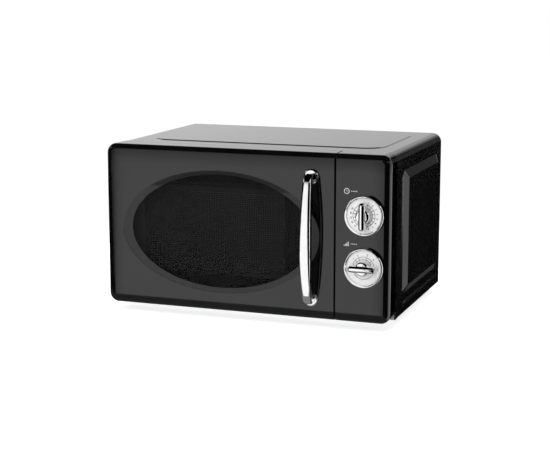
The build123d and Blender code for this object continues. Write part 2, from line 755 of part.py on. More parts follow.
with BuildPart() as roller_ring:
    with BuildSketch(facing_up(ROLLER_AXIS_Z - RING_T / 2)):
        with Locations((TURN_X, TURN_Y)):
            Circle(RING_R + RING_W / 2)
            Circle(RING_R - RING_W / 2, mode=Mode.SUBTRACT)
    extrude(amount=RING_T)
    with Locations((TURN_X, TURN_Y, ROLLER_AXIS_Z)):
        with PolarLocations(RING_R + (RING_W / 2 + ROLLER_PIN_L) / 2, ROLLER_COUNT):
            Cylinder(ROLLER_PIN_R, ROLLER_PIN_L + RING_W / 2, rotation=(0, 90, 0))
write(roller_ring, "roller_ring")

for number in range(ROLLER_COUNT):
    turn = math.radians(number * 360 / ROLLER_COUNT)
    outward = Vector(math.cos(turn), math.sin(turn), 0)
    roller_start = Vector(TURN_X, TURN_Y, ROLLER_AXIS_Z) + outward * ROLLER_START_R
    with BuildPart() as roller:
        with BuildSketch(Plane(origin=roller_start, z_dir=outward)):
            Circle(ROLLER_R)
            Circle(ROLLER_PIN_R + SHAFT_FIT, mode=Mode.SUBTRACT)
        extrude(amount=ROLLER_W)
    write(roller, f"roller_{number + 1}")

with BuildPart() as glass_tray:
    with BuildSketch(facing_front(TURN_Y)):
        with BuildLine():
            Polyline(
                (TURN_X, TRAY_Z),
                (TURN_X + TRAY_FLAT_R, TRAY_Z),
                (TURN_X + TRAY_R, TRAY_Z + TRAY_RIM_H - TRAY_RIM_W),
                (TURN_X + TRAY_R, TRAY_Z + TRAY_RIM_H),
                (TURN_X + TRAY_R - TRAY_RIM_W, TRAY_Z + TRAY_RIM_H),
                (TURN_X + TRAY_FLAT_R, TRAY_Z + TRAY_T),
                (TURN_X, TRAY_Z + TRAY_T),
                close=True,
            )
        make_face()
    revolve(axis=Axis((TURN_X, TURN_Y, 0), (0, 0, 1)))
    with BuildSketch(facing_up(TRAY_Z)):
        with Locations((TURN_X, TURN_Y)):
            with PolarLocations(LUG_PITCH_R, ROLLER_COUNT, start_angle=180 / ROLLER_COUNT):
                Circle(LUG_R)
    extrude(amount=-LUG_H)
write(glass_tray, "glass_tray")

# Door frame: moulded front with a bevelled oval opening, posts, hinge bosses and hook guides
door_block = front_block(0, DOOR_LEFT, DOOR_RIGHT, Y_DOOR_BACK)
door_shell = round_cut(door_block, door_block.faces().sort_by(Axis.X)[-1])
door_room = front_block(SHELL_WALL, DOOR_LEFT + SHELL_WALL, DOOR_RIGHT - SHELL_WALL, Y_DOOR_BACK)
boss_starts = (
    tongue_heights[0] + TONGUE_T / 2 + FIT,
    tongue_heights[1] - TONGUE_T / 2 - FIT - HINGE_BOSS_L,
)
strip_h = boss_starts[1] - boss_starts[0] - HINGE_BOSS_L
strip_w = PAN_LEFT - FIT - DOOR_LEFT - SHELL_WALL
shelf_top_z = Z_MID + HOOK_STRIP_H / 2 + 2 * FIT + SPRING_H + SHELF_T / 2
shelf_bottom_z = Z_MID - HOOK_STRIP_H / 2 - FIT - SHELF_T / 2
with BuildPart() as door_frame:
    add(door_shell)
    add(door_room, mode=Mode.SUBTRACT)
    with BuildSketch(facing_up(Z_BASE)):
        Polygon(
            (DOOR_LEFT, Y_DOOR_BACK - HINGE_CHAMFER),
            (DOOR_LEFT + HINGE_CHAMFER, Y_DOOR_BACK),
            (DOOR_LEFT, Y_DOOR_BACK),
            align=None,
        )
    extrude(amount=FRONT_H, mode=Mode.SUBTRACT)
    with BuildSketch(facing_front(Y_PANE)):
        with Locations((OVAL_X, OVAL_Z)):
            Ellipse(OVAL_A + OVAL_RIM, OVAL_B + OVAL_RIM)
    extrude(amount=OVAL_DEPTH - SHELL_WALL)
    with BuildSketch(facing_front(Y_PANE)):
        with Locations((OVAL_X, OVAL_Z)):
            Ellipse(OVAL_A - OVAL_BEVEL_SIDE, OVAL_B - OVAL_BEVEL_TOP)
    with BuildSketch(facing_front(Y_FACE)):
        with Locations((OVAL_X, OVAL_Z)):
            Ellipse(OVAL_A, OVAL_B)
    loft(mode=Mode.SUBTRACT)
    with BuildSketch(facing_front(Y_PAN)):
        with Locations((PAN_X, Z_MID)):
            with GridLocations(PAN_W - CHOKE_W, PAN_H - CHOKE_W, 2, 2):
                Circle(POST_R)
    extrude(amount=PAN_DEPTH - SHELL_WALL)
    with BuildSketch(facing_front(Y_HOOK_FRONT - FIT)):
        with Locations((HOOK_MID_X, Z_MID)):
            with GridLocations(HOOK_T, HOOK_SPREAD, 1, 2):
                Rectangle(HOOK_T, HOOK_ARM_H)
    extrude(amount=HOOK_STRIP_FROM_FACE - FIT - SHELL_WALL)
    with BuildSketch(facing_front(Y_HOOK_BACK)):
        with Locations((HOOK_MID_X, shelf_bottom_z), (HOOK_MID_X, shelf_top_z)):
            Rectangle(HOOK_T, SHELF_T)
    extrude(amount=HOOK_STRIP_FROM_FACE + HOOK_STRIP_W - SHELL_WALL)
    with BuildSketch(facing_front(Y_PAN_BACK + CHOKE_COVER_T)):
        with Locations((PAN_LEFT - FIT - strip_w / 2, Z_MID)):
            Rectangle(strip_w, strip_h)
    extrude(amount=CHOKE_COVER_T)
    for boss_start in boss_starts:
        with BuildSketch(facing_up(boss_start)):
            with Locations((HINGE_X, HINGE_Y)):
                Circle(HINGE_BOSS_R)
            with Locations((DOOR_LEFT + SHELL_WALL, HINGE_Y)):
                Rectangle(HINGE_INSET - SHELL_WALL, HINGE_BOSS_R, align=(Align.MIN, Align.CENTER))
        extrude(amount=HINGE_BOSS_L)
        with BuildSketch(facing_up(boss_start)):
            with Locations((HINGE_X, HINGE_Y)):
                Circle(HINGE_PIN_R + SHAFT_FIT)
        extrude(amount=HINGE_BOSS_L, mode=Mode.SUBTRACT)
    sweep_x = HINGE_X + TONGUE_SWEEP
    sweep_y = HINGE_Y - TONGUE_SWEEP
    for tongue_z in tongue_heights:
        with BuildSketch(facing_up(tongue_z - TONGUE_T / 2 - FIT)):
            with Locations((sweep_x, sweep_y)):
                Rectangle(
                    sweep_x - DOOR_LEFT, Y_DOOR_BACK - sweep_y, align=(Align.MAX, Align.MIN)
                )
        extrude(amount=TONGUE_T + 2 * FIT, mode=Mode.SUBTRACT)
    with BuildSketch(facing_front(Y_FACE + SHELL_WALL)):
        with Locations(*((HANDLE_X, z) for z in HANDLE_ENDS)):
            Circle(HANDLE_SCREW_R + SHAFT_FIT)
    extrude(amount=SHELL_WALL, mode=Mode.SUBTRACT)
write(door_frame, "door_frame")

with BuildPart() as door_window:
    with BuildSketch(facing_front(Y_PANE + PANE_T)):
        with Locations((OVAL_X, OVAL_Z)):
            Ellipse(OVAL_A - OVAL_BEVEL_SIDE + PANE_LIP, OVAL_B - OVAL_BEVEL_TOP + PANE_LIP)
    extrude(amount=PANE_T)
write(door_window, "door_window")

# Steel door pan: choke channel folded round the edge, slotted, with the screen opening inside
with BuildPart() as door_panel:
    with BuildSketch(facing_front(Y_PAN_BACK)):
        with Locations((PAN_X, Z_MID)):
            RectangleRounded(PAN_W, PAN_H, PAN_CORNER_R)
    extrude(amount=PAN_CHANNEL)
    with BuildSketch(facing_front(Y_PAN_BACK)):
        with Locations((PAN_X, Z_MID)):
            RectangleRounded(PAN_W - 2 * PLATE, PAN_H - 2 * PLATE, PAN_CORNER_R - PLATE)
            Rectangle(INNER_W, INNER_H, mode=Mode.SUBTRACT)
    extrude(amount=PAN_CHANNEL - PLATE, mode=Mode.SUBTRACT)
    with BuildSketch(facing_front(Y_INNER_PLATE)):
        with Locations((PAN_X, Z_MID)):
            Rectangle(INNER_W - 2 * PLATE, INNER_H - 2 * PLATE)
    extrude(amount=INNER_PLATE_DEPTH - PAN_DEPTH, mode=Mode.SUBTRACT)
    with BuildSketch(facing_front(Y_PAN_BACK)):
        with Locations((PAN_X, Z_MID)):
            Rectangle(INNER_W, INNER_H)
    extrude(amount=Y_PAN_BACK - Y_INNER_PLATE - PLATE, mode=Mode.SUBTRACT)
    with BuildSketch(facing_front(Y_PAN_BACK)):
        with Locations((SCREEN_X, SCREEN_Z)):
            Rectangle(SCREEN_W, SCREEN_H)
    extrude(amount=PAN_CHANNEL, mode=Mode.SUBTRACT)
    rows = int((PAN_H - 2 * CHOKE_W) / CHOKE_SLOT_PITCH)
    columns = int((PAN_W - 2 * CHOKE_W) / CHOKE_SLOT_PITCH)
    slot_y = Y_PAN_BACK - CHOKE_SLOT_DEPTH / 2
    for wall_z in (Z_MID - PAN_H / 2, Z_MID + PAN_H / 2 - PLATE):
        with BuildSketch(facing_up(wall_z)):
            with Locations((PAN_X, slot_y)):
                with GridLocations(CHOKE_SLOT_PITCH, CHOKE_SLOT_DEPTH, columns, 1):
                    Rectangle(CHOKE_SLOT_W, CHOKE_SLOT_DEPTH)
        extrude(amount=PLATE, mode=Mode.SUBTRACT)
    for wall_x in (PAN_LEFT, PAN_RIGHT - PLATE):
        with BuildSketch(facing_right(wall_x)):
            with Locations((slot_y, Z_MID)):
                with GridLocations(CHOKE_SLOT_DEPTH, CHOKE_SLOT_PITCH, 1, rows):
                    Rectangle(CHOKE_SLOT_DEPTH, CHOKE_SLOT_W)
        extrude(amount=PLATE, mode=Mode.SUBTRACT)
write(door_panel, "door_panel")

with BuildPart() as door_screen:
    with BuildSketch(facing_front(Y_INNER_PLATE)):
        with Locations((SCREEN_X, SCREEN_Z)):
            Rectangle(SCREEN_W + 2 * SCREEN_LAP, SCREEN_H + 2 * SCREEN_LAP)
    extrude(amount=SHEET)
write(door_screen, "door_screen")

with BuildPart() as inner_window:
    with BuildSketch(facing_front(Y_INNER_PLATE + PLATE + INNER_WINDOW_T)):
        with Locations((SCREEN_X, SCREEN_Z)):
            Rectangle(SCREEN_W + 2 * INNER_WINDOW_LAP, SCREEN_H + 2 * INNER_WINDOW_LAP)
    extrude(amount=INNER_WINDOW_T)
write(inner_window, "inner_window")

choke_cover_right = DOOR_RIGHT - SHELL_WALL - FIT
choke_cover_w = choke_cover_right - PAN_LEFT
choke_cover_h = FRONT_H - 2 * SHELL_WALL - 2 * FIT
with BuildPart() as choke_cover:
    with BuildSketch(facing_front(Y_PAN_BACK + CHOKE_COVER_T)):
        with Locations((PAN_LEFT + choke_cover_w / 2, Z_MID)):
            Rectangle(choke_cover_w, choke_cover_h)
        with Locations((PAN_X, Z_MID)):
            RectangleRounded(INNER_W, INNER_H, PAN_CORNER_R, mode=Mode.SUBTRACT)
        for hook_z in HOOK_HEIGHTS:
            with Locations((HOOK_MID_X, hook_z + (HOOK_LIFT - NOSE_DROP) / 2)):
                Rectangle(
                    HOOK_T + 2 * FIT,
                    HOOK_ARM_H + HOOK_LIFT + NOSE_DROP + 2 * CATCH_GAP,
                    mode=Mode.SUBTRACT,
                )
    extrude(amount=CHOKE_COVER_T)
write(choke_cover, "choke_cover")

# Handle: arched bar on two round ends, held by screws from inside the door
y_bar_end = Y_FACE - ROSETTE_T
with BuildPart() as handle_bar:
    with BuildLine(facing_right(HANDLE_X)) as bar_line:
        y_neck = Y_FACE - BAR_NECK
        bow = (Y_FACE - HANDLE_REACH + BAR_T / 2, HANDLE_Z)
        Line((y_bar_end, HANDLE_ENDS[0]), (y_neck, HANDLE_ENDS[0]))
        ThreePointArc((y_neck, HANDLE_ENDS[0]), bow, (y_neck, HANDLE_ENDS[1]))
        Line((y_neck, HANDLE_ENDS[1]), (y_bar_end, HANDLE_ENDS[1]))
        fillet(bar_line.vertices(), BAR_BEND_R)
    bar_wire = bar_line.wire()
    for place in range(BAR_SECTIONS):
        share = place / (BAR_SECTIONS - 1)
        swell = math.sin(math.pi * share)
        width = BAR_END_W + (BAR_W - BAR_END_W) * swell
        thickness = BAR_END_T + (BAR_T - BAR_END_T) * swell
        section_plane = Plane(origin=bar_wire @ share, x_dir=(1, 0, 0), z_dir=bar_wire % share)
        with BuildSketch(section_plane):
            RectangleRounded(width, thickness, BAR_CORNER_R)
    loft()
    with BuildSketch(facing_front(y_bar_end)):
        with Locations(*((HANDLE_X, z) for z in HANDLE_ENDS)):
            Circle(HANDLE_SCREW_R + SHAFT_FIT)
    extrude(amount=HANDLE_SCREW_BITE, mode=Mode.SUBTRACT)
write(handle_bar, "handle_bar")

with BuildPart() as handle_rosettes:
    with BuildSketch(facing_front(Y_FACE)):
        with Locations(*((HANDLE_X, z) for z in HANDLE_ENDS)):
            Circle(ROSETTE_R)
    extrude(amount=ROSETTE_T)
    fillet(handle_rosettes.edges().group_by(Axis.Y)[0], ROSETTE_EDGE_R)
    with BuildSketch(facing_front(Y_FACE)):
        with Locations(*((HANDLE_X, z) for z in HANDLE_ENDS)):
            Circle(HANDLE_SCREW_R + SHAFT_FIT)
    extrude(amount=ROSETTE_T, mode=Mode.SUBTRACT)
write(handle_rosettes, "handle_rosettes")

with BuildPart() as handle_screws:
    with BuildSketch(facing_front(Y_FACE + SHELL_WALL + HANDLE_SCREW_HEAD_T)):
        with Locations(*((HANDLE_X, z) for z in HANDLE_ENDS)):
            Circle(HANDLE_SCREW_HEAD_R)
    extrude(amount=HANDLE_SCREW_HEAD_T)
    with BuildSketch(facing_front(Y_FACE + SHELL_WALL)):
        with Locations(*((HANDLE_X, z) for z in HANDLE_ENDS)):
            Circle(HANDLE_SCREW_R)
    extrude(amount=SHELL_WALL + ROSETTE_T + HANDLE_SCREW_BITE)
write(handle_screws, "handle_screws")

# Door hinges: plates behind the front plate whose tongues carry the pins
with BuildPart() as door_hinges:
    for tongue_z, pin_side in zip(tongue_heights, (1, -1)):
        leg_z = tongue_z + pin_side * (HINGE_LEG_H - TONGUE_T) / 2
        with BuildSketch(facing_front(Y_INSIDE + HINGE_LEG_T)):
            with Locations((HINGE_X, leg_z)):
                Rectangle(2 * TONGUE_HALF_W, HINGE_LEG_H)
        extrude(amount=HINGE_LEG_T)
        with BuildSketch(facing_up(tongue_z - TONGUE_T / 2)):
            with Locations((HINGE_X, HINGE_Y)):
                Circle(TONGUE_HALF_W)
                Rectangle(
                    2 * TONGUE_HALF_W, Y_INSIDE - HINGE_Y, align=(Align.CENTER, Align.MIN)
                )
        extrude(amount=TONGUE_T)
        with BuildSketch(facing_up(tongue_z)):
            with Locations((HINGE_X, HINGE_Y)):
                Circle(HINGE_PIN_R)
        extrude(amount=pin_side * (TONGUE_T / 2 + HINGE_PIN_L))
write(door_hinges, "door_hinges")

# Latch hook: strip with two arms, each with a ramped nose
with BuildPart() as latch_hook:
    with BuildSketch(facing_right(HOOK_X)):
        with Locations(((Y_HOOK_FRONT + Y_HOOK_BACK) / 2, Z_MID)):
            Rectangle(HOOK_STRIP_W, HOOK_STRIP_H)
        for hook_z in HOOK_HEIGHTS:
            with Locations((Y_HOOK_BACK, hook_z)):
                Rectangle(
                    Y_HOOK_TIP - Y_HOOK_BACK, HOOK_ARM_H, align=(Align.MIN, Align.CENTER)
                )
            arm_under = hook_z - HOOK_ARM_H / 2
            y_nose = Y_INSIDE + NOSE_START
            Polygon(
                (y_nose, arm_under),
                (y_nose, arm_under - NOSE_DROP),
                (Y_HOOK_TIP - NOSE_RAMP, arm_under - NOSE_DROP),
                (Y_HOOK_TIP, arm_under),
                align=None,
            )
    extrude(amount=HOOK_T)
write(latch_hook, "latch_hook")

# Latch spring: coil between a shelf of the door frame and the top of the hook strip
spring_z = Z_MID + HOOK_STRIP_H / 2 + FIT
spring_y = (Y_HOOK_FRONT + Y_HOOK_BACK) / 2
coil_h = SPRING_H - 2 * SPRING_WIRE_R
with BuildPart() as latch_spring:
    with BuildLine(Plane((HOOK_MID_X, spring_y, spring_z + SPRING_WIRE_R))) as coil_line:
        Helix(
            pitch=coil_h / SPRING_TURNS,
            height=coil_h,
            radius=SPRING_R - SPRING_WIRE_R,
        )
    coil_wire = coil_line.wire()
    with BuildSketch(Plane(origin=coil_wire @ 0, z_dir=coil_wire % 0)):
        Circle(SPRING_WIRE_R)
    sweep(path=coil_wire, is_frenet=True)
write(latch_spring, "latch_spring")

# Latch body: plastic frame behind the slots that guides the hooks and carries the switches
latch_h = HOOK_SPREAD + 2 * LATCH_END
Y_LATCH_BACK = Y_INSIDE + LATCH_DEPTH
with BuildPart() as latch_body:
    with BuildSketch(facing_front(Y_LATCH_BACK)):
        with Locations((HOOK_MID_X, Z_MID)):
            RectangleRounded(2 * LATCH_HALF_W, latch_h, LATCH_WALL)
    extrude(amount=LATCH_DEPTH)
    with BuildSketch(facing_front(Y_SWITCH)):
        with Locations((HOOK_MID_X, Z_MID)):
            with GridLocations(1, HOOK_SPREAD, 1, 2):
                Rectangle(2 * (LATCH_HALF_W - LATCH_WALL), 2 * (LATCH_END - LATCH_WALL))
    extrude(amount=Y_SWITCH - Y_INSIDE, mode=Mode.SUBTRACT)
    with BuildSketch(facing_front(Y_LATCH_BACK)):
        with Locations((HOOK_MID_X, Z_MID)):
            with GridLocations(1, HOOK_SPREAD, 1, 2):
                Rectangle(2 * (LATCH_HALF_W - LATCH_WALL), SWITCH_H)
    extrude(amount=Y_LATCH_BACK - Y_SWITCH, mode=Mode.SUBTRACT)
    with BuildSketch(facing_front(Y_LATCH_BACK)):
        with Locations((HOOK_MID_X + LATCH_WALL, Z_MID)):
            Rectangle(2 * LATCH_HALF_W, HOOK_SPREAD - 2 * LATCH_END)
    extrude(amount=LATCH_DEPTH - LATCH_WALL, mode=Mode.SUBTRACT)
write(latch_body, "latch_body")

# Interlock switches with their plungers: one above, a pair below
upper_z = HOOK_HEIGHTS[1]
lower_z = HOOK_HEIGHTS[0]
pair_offset = (SWITCH_W + SWITCH_GAP) / 2
upper_spots = [(HOOK_MID_X, upper_z)]
lower_spots = [(HOOK_MID_X - pair_offset, lower_z), (HOOK_MID_X + pair_offset, lower_z)]
with BuildPart() as interlock_switches:
    with BuildSketch(facing_front(Y_SWITCH + SWITCH_DEPTH)):
        with Locations(*upper_spots, *lower_spots):
            Rectangle(SWITCH_W, SWITCH_H)
    extrude(amount=SWITCH_DEPTH)
    with BuildSketch(facing_front(Y_SWITCH + SWITCH_DEPTH)):
        with Locations(*upper_spots, *lower_spots):
            with GridLocations(1, SWITCH_H / 2, 1, 2):
                Rectangle(TERMINAL_T, TERMINAL_W)
    extrude(amount=-TERMINAL_L)
    with BuildSketch(facing_front(Y_SWITCH)):
        with Locations(*upper_spots, *lower_spots):
            Circle(PLUNGER_R + SHAFT_FIT)
    extrude(amount=-(PLUNGER_L - PLUNGER_OUT + FIT), mode=Mode.SUBTRACT)
write(interlock_switches, "interlock_switches")

with BuildPart() as upper_plunger:
    with BuildSketch(facing_front(Y_HOOK_TIP + FIT + PLUNGER_L)):
        with Locations(*upper_spots):
            Circle(PLUNGER_R)
    extrude(amount=PLUNGER_L)
write(upper_plunger, "upper_plunger")

with BuildPart() as lower_plungers:
    with BuildSketch(facing_front(Y_HOOK_TIP + FIT + PLUNGER_L)):
        with Locations(*lower_spots):
            Circle(PLUNGER_R)
    extrude(amount=PLUNGER_L)
write(lower_plungers, "lower_plungers")

# Control panel: hollow moulded fascia with posts for the two units
panel_block = front_block(0, PANEL_LEFT, PANEL_RIGHT, Y_CASE)
panel_shell = round_cut(panel_block, panel_block.faces().sort_by(Axis.X)[0])
panel_room = front_block(SHELL_WALL, PANEL_LEFT + SHELL_WALL, PANEL_RIGHT - SHELL_WALL, Y_CASE)
units = ((TIMER_Z, TIMER_UNIT_W), (POWER_Z, POWER_UNIT_W))
Y_UNIT = Y_FACE + SHELL_WALL + UNIT_STANDOFF
with BuildPart() as control_panel:
    add(panel_shell)
    add(panel_room, mode=Mode.SUBTRACT)
    with BuildSketch(facing_front(Y_UNIT)):
        for unit_z, unit_w in units:
            with Locations((DIAL_X, unit_z)):
                with GridLocations(unit_w - 2 * UNIT_BOSS_INSET, unit_w - 2 * UNIT_BOSS_INSET, 2, 2):
                    Circle(UNIT_BOSS_R)
    extrude(amount=UNIT_STANDOFF)
    with BuildSketch(facing_front(Y_FACE + SHELL_WALL)):
        with Locations((DIAL_X, TIMER_Z), (DIAL_X, POWER_Z)):
            Circle(KNOB_SHAFT_R + FIT)
    extrude(amount=SHELL_WALL, mode=Mode.SUBTRACT)
write(control_panel, "control_panel")

# Dial faces and the rings round them
for name, dial_z in (("timer_dial", TIMER_Z), ("power_dial", POWER_Z)):
    with BuildPart() as dial:
        with BuildSketch(facing_front(Y_FACE)):
            with Locations((DIAL_X, dial_z)):
                Circle(BEZEL_R - BEZEL_RING)
                Circle(KNOB_SHAFT_R + FIT, mode=Mode.SUBTRACT)
        extrude(amount=DIAL_T)
    write(dial, name)

with BuildPart() as dial_bezels:
    with BuildSketch(facing_front(Y_FACE)):
        with Locations((DIAL_X, TIMER_Z), (DIAL_X, POWER_Z)):
            Circle(BEZEL_R)
            Circle(BEZEL_R - BEZEL_RING, mode=Mode.SUBTRACT)
    extrude(amount=BEZEL_PROUD)
    rims = dial_bezels.edges().group_by(Axis.Y)[0].group_by(SortBy.RADIUS)
    chamfer(rims[0], BEZEL_STEP)
    fillet(rims[-1], BEZEL_ROUND_R)
write(dial_bezels, "dial_bezels")

# Knobs with bar grips, on shafts that turn in the units
y_knob = Y_FACE - DIAL_T - KNOB_GAP
for name, dial_z, grip_turn in (("timer_knob", TIMER_Z, 90), ("power_knob", POWER_Z, 0)):
    with BuildPart() as knob:
        with BuildSketch(facing_front(y_knob)):
            with Locations((DIAL_X, dial_z)):
                Circle(KNOB_HUB_R)
        extrude(amount=KNOB_HUB_H)
        fillet(knob.edges().group_by(Axis.Y)[0], KNOB_HUB_EDGE_R)
        with BuildSketch(facing_front(y_knob)):
            with Locations((DIAL_X, dial_z)):
                SlotOverall(GRIP_L, GRIP_W, rotation=grip_turn)
        extrude(amount=y_knob - Y_FACE + KNOB_REACH, taper=GRIP_DRAFT)
        fillet(knob.edges().group_by(Axis.Y)[0], GRIP_EDGE_R)
        with BuildSketch(facing_front(y_knob)):
            with Locations((DIAL_X, dial_z)):
                Circle(KNOB_SHAFT_R + SHAFT_FIT)
        extrude(amount=KNOB_SHAFT_BITE, mode=Mode.SUBTRACT)
    write(knob, name)

for name, dial_z in (("timer_shaft", TIMER_Z), ("power_shaft", POWER_Z)):
    with BuildPart() as shaft:
        with BuildSketch(facing_front(Y_UNIT + KNOB_SHAFT_TAIL)):
            with Locations((DIAL_X, dial_z)):
                Circle(KNOB_SHAFT_R)
        extrude(amount=Y_UNIT + KNOB_SHAFT_TAIL - y_knob + KNOB_SHAFT_BITE)
    write(shaft, name)

# Timer unit and power selector on the posts of the panel
unit_sizes = (
    ("timer_unit", TIMER_Z, TIMER_UNIT_W, TIMER_UNIT_DEPTH),
    ("power_selector", POWER_Z, POWER_UNIT_W, POWER_UNIT_DEPTH),
)
for name, unit_z, unit_w, unit_depth in unit_sizes:
    with BuildPart() as unit:
        with BuildSketch(facing_front(Y_UNIT + unit_depth)):
            with Locations((DIAL_X, unit_z)):
                RectangleRounded(unit_w, unit_w, UNIT_CORNER_R)
        extrude(amount=unit_depth)
        with BuildSketch(facing_front(Y_UNIT + unit_depth + UNIT_MOTOR_H)):
            with Locations((DIAL_X, unit_z)):
                Circle(UNIT_MOTOR_R)
        extrude(amount=UNIT_MOTOR_H)
        with BuildSketch(facing_front(Y_UNIT)):
            with Locations((DIAL_X, unit_z)):
                Circle(KNOB_SHAFT_R + SHAFT_FIT)
        extrude(amount=-(KNOB_SHAFT_TAIL + FIT), mode=Mode.SUBTRACT)
    write(unit, name)

# Waveguide and its cover inside the cavity
with BuildPart() as waveguide:
    with BuildSketch(facing_right(CAVITY_WALL_X)):
        with Locations((GUIDE_Y, GUIDE_Z)):
            Rectangle(GUIDE_L, GUIDE_H)
    extrude(amount=GUIDE_W)
    with BuildSketch(facing_right(CAVITY_WALL_X)):
        with Locations((GUIDE_Y, GUIDE_Z)):
            Rectangle(GUIDE_L - 2 * PLATE, GUIDE_H - 2 * PLATE)
    extrude(amount=GUIDE_W - PLATE, mode=Mode.SUBTRACT)
    with BuildSketch(facing_right(CAVITY_WALL_X)):
        with Locations((GUIDE_Y, GUIDE_Z)):
            Circle(ANTENNA_R + FIT)
    extrude(amount=GUIDE_W, mode=Mode.SUBTRACT)
write(waveguide, "waveguide")

with BuildPart() as waveguide_cover:
    with BuildSketch(facing_right(CAVITY_RIGHT - SHEET)):
        with Locations((GUIDE_Y, GUIDE_Z)):
            RectangleRounded(
                GUIDE_L - 2 * GUIDE_MARGIN + 2 * MICA_LAP,
                GUIDE_H - 2 * GUIDE_MARGIN + 2 * MICA_LAP,
                MICA_LAP,
            )
    extrude(amount=SHEET)
write(waveguide_cover, "waveguide_cover")

# Magnetron: yoke, anode block with cooling fins and antenna, filter box
with BuildPart() as magnetron_yoke:
    with BuildSketch(facing_right(YOKE_X)):
        with Locations((GUIDE_Y, GUIDE_Z)):
            Rectangle(YOKE_L, YOKE_H)
    extrude(amount=YOKE_W)
    with BuildSketch(facing_front(GUIDE_Y + YOKE_L / 2)):
        with Locations((YOKE_X + YOKE_W / 2, GUIDE_Z)):
            Rectangle(YOKE_W - 2 * YOKE_T, YOKE_H - 2 * YOKE_T)
    extrude(amount=YOKE_L, mode=Mode.SUBTRACT)
    with BuildSketch(facing_right(YOKE_X)):
        with Locations((GUIDE_Y, GUIDE_Z)):
            Circle(ANTENNA_R + FIT)
    extrude(amount=YOKE_T, mode=Mode.SUBTRACT)
write(magnetron_yoke, "magnetron_yoke")

fin_room = YOKE_W - 2 * YOKE_T
with BuildPart() as magnetron_anode:
    with BuildSketch(facing_right(YOKE_X + YOKE_T)):
        with Locations((GUIDE_Y, GUIDE_Z)):
            Circle(ANODE_R)
    extrude(amount=fin_room)
    for number in range(ANODE_FINS):
        fin_x = YOKE_X + YOKE_T + (number + 1) * fin_room / (ANODE_FINS + 1)
        with BuildSketch(facing_right(fin_x)):
            with Locations((GUIDE_Y, GUIDE_Z)):
                Rectangle(FIN_L, FIN_H)
        extrude(amount=FIN_T)
    with BuildSketch(facing_right(YOKE_X - ANTENNA_L)):
        with Locations((GUIDE_Y, GUIDE_Z)):
            Circle(ANTENNA_R)
    extrude(amount=ANTENNA_L + YOKE_T)
write(magnetron_anode, "magnetron_anode")

with BuildPart() as magnetron_filter_box:
    with BuildSketch(facing_right(YOKE_X + YOKE_W)):
        with Locations((GUIDE_Y, GUIDE_Z)):
            RectangleRounded(FILTER_BOX_L, FILTER_BOX_H, UNIT_CORNER_R)
    extrude(amount=FILTER_BOX_W)
write(magnetron_filter_box, "magnetron_filter_box")

# High-voltage transformer: laminated core with two windows, primary and secondary coils
core_window_w = (CORE_W - 4 * CORE_LEG) / 2
core_window_h = CORE_H - 2 * CORE_LEG
winding_h = (core_window_h - COIL_GAP) / 2
with BuildPart() as transformer_core:
    with BuildSketch(facing_front(CORE_Y + CORE_L / 2)):
        with Locations((BAY_X, Z_DECK + CORE_H / 2)):
            Rectangle(CORE_W, CORE_H)
            with GridLocations(core_window_w + 2 * CORE_LEG, 1, 2, 1):
                Rectangle(core_window_w, core_window_h, mode=Mode.SUBTRACT)
    extrude(amount=CORE_L)
write(transformer_core, "transformer_core")

with BuildPart() as transformer_coils:
    for coil_z in (Z_DECK + CORE_LEG, Z_DECK + CORE_H - CORE_LEG - winding_h):
        with BuildSketch(facing_up(coil_z)):
            with Locations((BAY_X, CORE_Y)):
                RectangleRounded(
                    2 * CORE_LEG + 2 * core_window_w,
                    CORE_L + 2 * COIL_OVERHANG,
                    COIL_OVERHANG - FIT,
                )
                Rectangle(2 * CORE_LEG, CORE_L, mode=Mode.SUBTRACT)
        extrude(amount=winding_h)
write(transformer_coils, "transformer_coils")

# High-voltage capacitor in its strap, and the diode beside it
with BuildPart() as capacitor:
    with BuildSketch(facing_front(CAN_Y + CAN_L / 2)):
        with Locations((CAN_X, CAN_Z)):
            SlotOverall(CAN_W, CAN_H)
    extrude(amount=CAN_L)
write(capacitor, "capacitor")

with BuildPart() as capacitor_strap:
    with BuildSketch(facing_front(CAN_Y + STRAP_W / 2)):
        with Locations((CAN_X, CAN_Z)):
            SlotOverall(CAN_W + 2 * STRAP_T, CAN_H + 2 * STRAP_T)
            SlotOverall(CAN_W, CAN_H, mode=Mode.SUBTRACT)
        with Locations((CAN_X, Z_DECK)):
            Rectangle(STRAP_EAR, CAN_LIFT - STRAP_T, align=(Align.CENTER, Align.MIN))
    extrude(amount=STRAP_W)
write(capacitor_strap, "capacitor_strap")

diode_x = CAN_X - CAN_W / 2 - STRAP_T - 2 * DIODE_R
with BuildPart() as hv_diode:
    with BuildSketch(facing_front(CAN_Y + DIODE_L / 2)):
        with Locations((diode_x, Z_DECK + DIODE_TAB_T + DIODE_R)):
            Circle(DIODE_R)
        with Locations((diode_x, Z_DECK)):
            Rectangle(2 * DIODE_R, DIODE_TAB_T + DIODE_R, align=(Align.CENTER, Align.MIN))
    extrude(amount=DIODE_L)
write(hv_diode, "hv_diode")

# Thermal cut-outs on the magnetron yoke and on top of the cavity
cutout_spots = (
    (YOKE_X + YOKE_W / 2, GUIDE_Y, GUIDE_Z + YOKE_H / 2),
    (CAVITY_X, TURN_Y, CAVITY_TOP + PLATE),
)
with BuildPart() as thermal_cutouts:
    for cutout_x, cutout_y, cutout_z in cutout_spots:
        with BuildSketch(facing_up(cutout_z)):
            with Locations((cutout_x, cutout_y)):
                SlotOverall(CUTOUT_FLANGE_L, CUTOUT_FLANGE_W)
        extrude(amount=CUTOUT_FLANGE_T)
        with BuildSketch(facing_up(cutout_z)):
            with Locations((cutout_x, cutout_y)):
                Circle(CUTOUT_R)
        extrude(amount=CUTOUT_H)
write(thermal_cutouts, "thermal_cutouts")

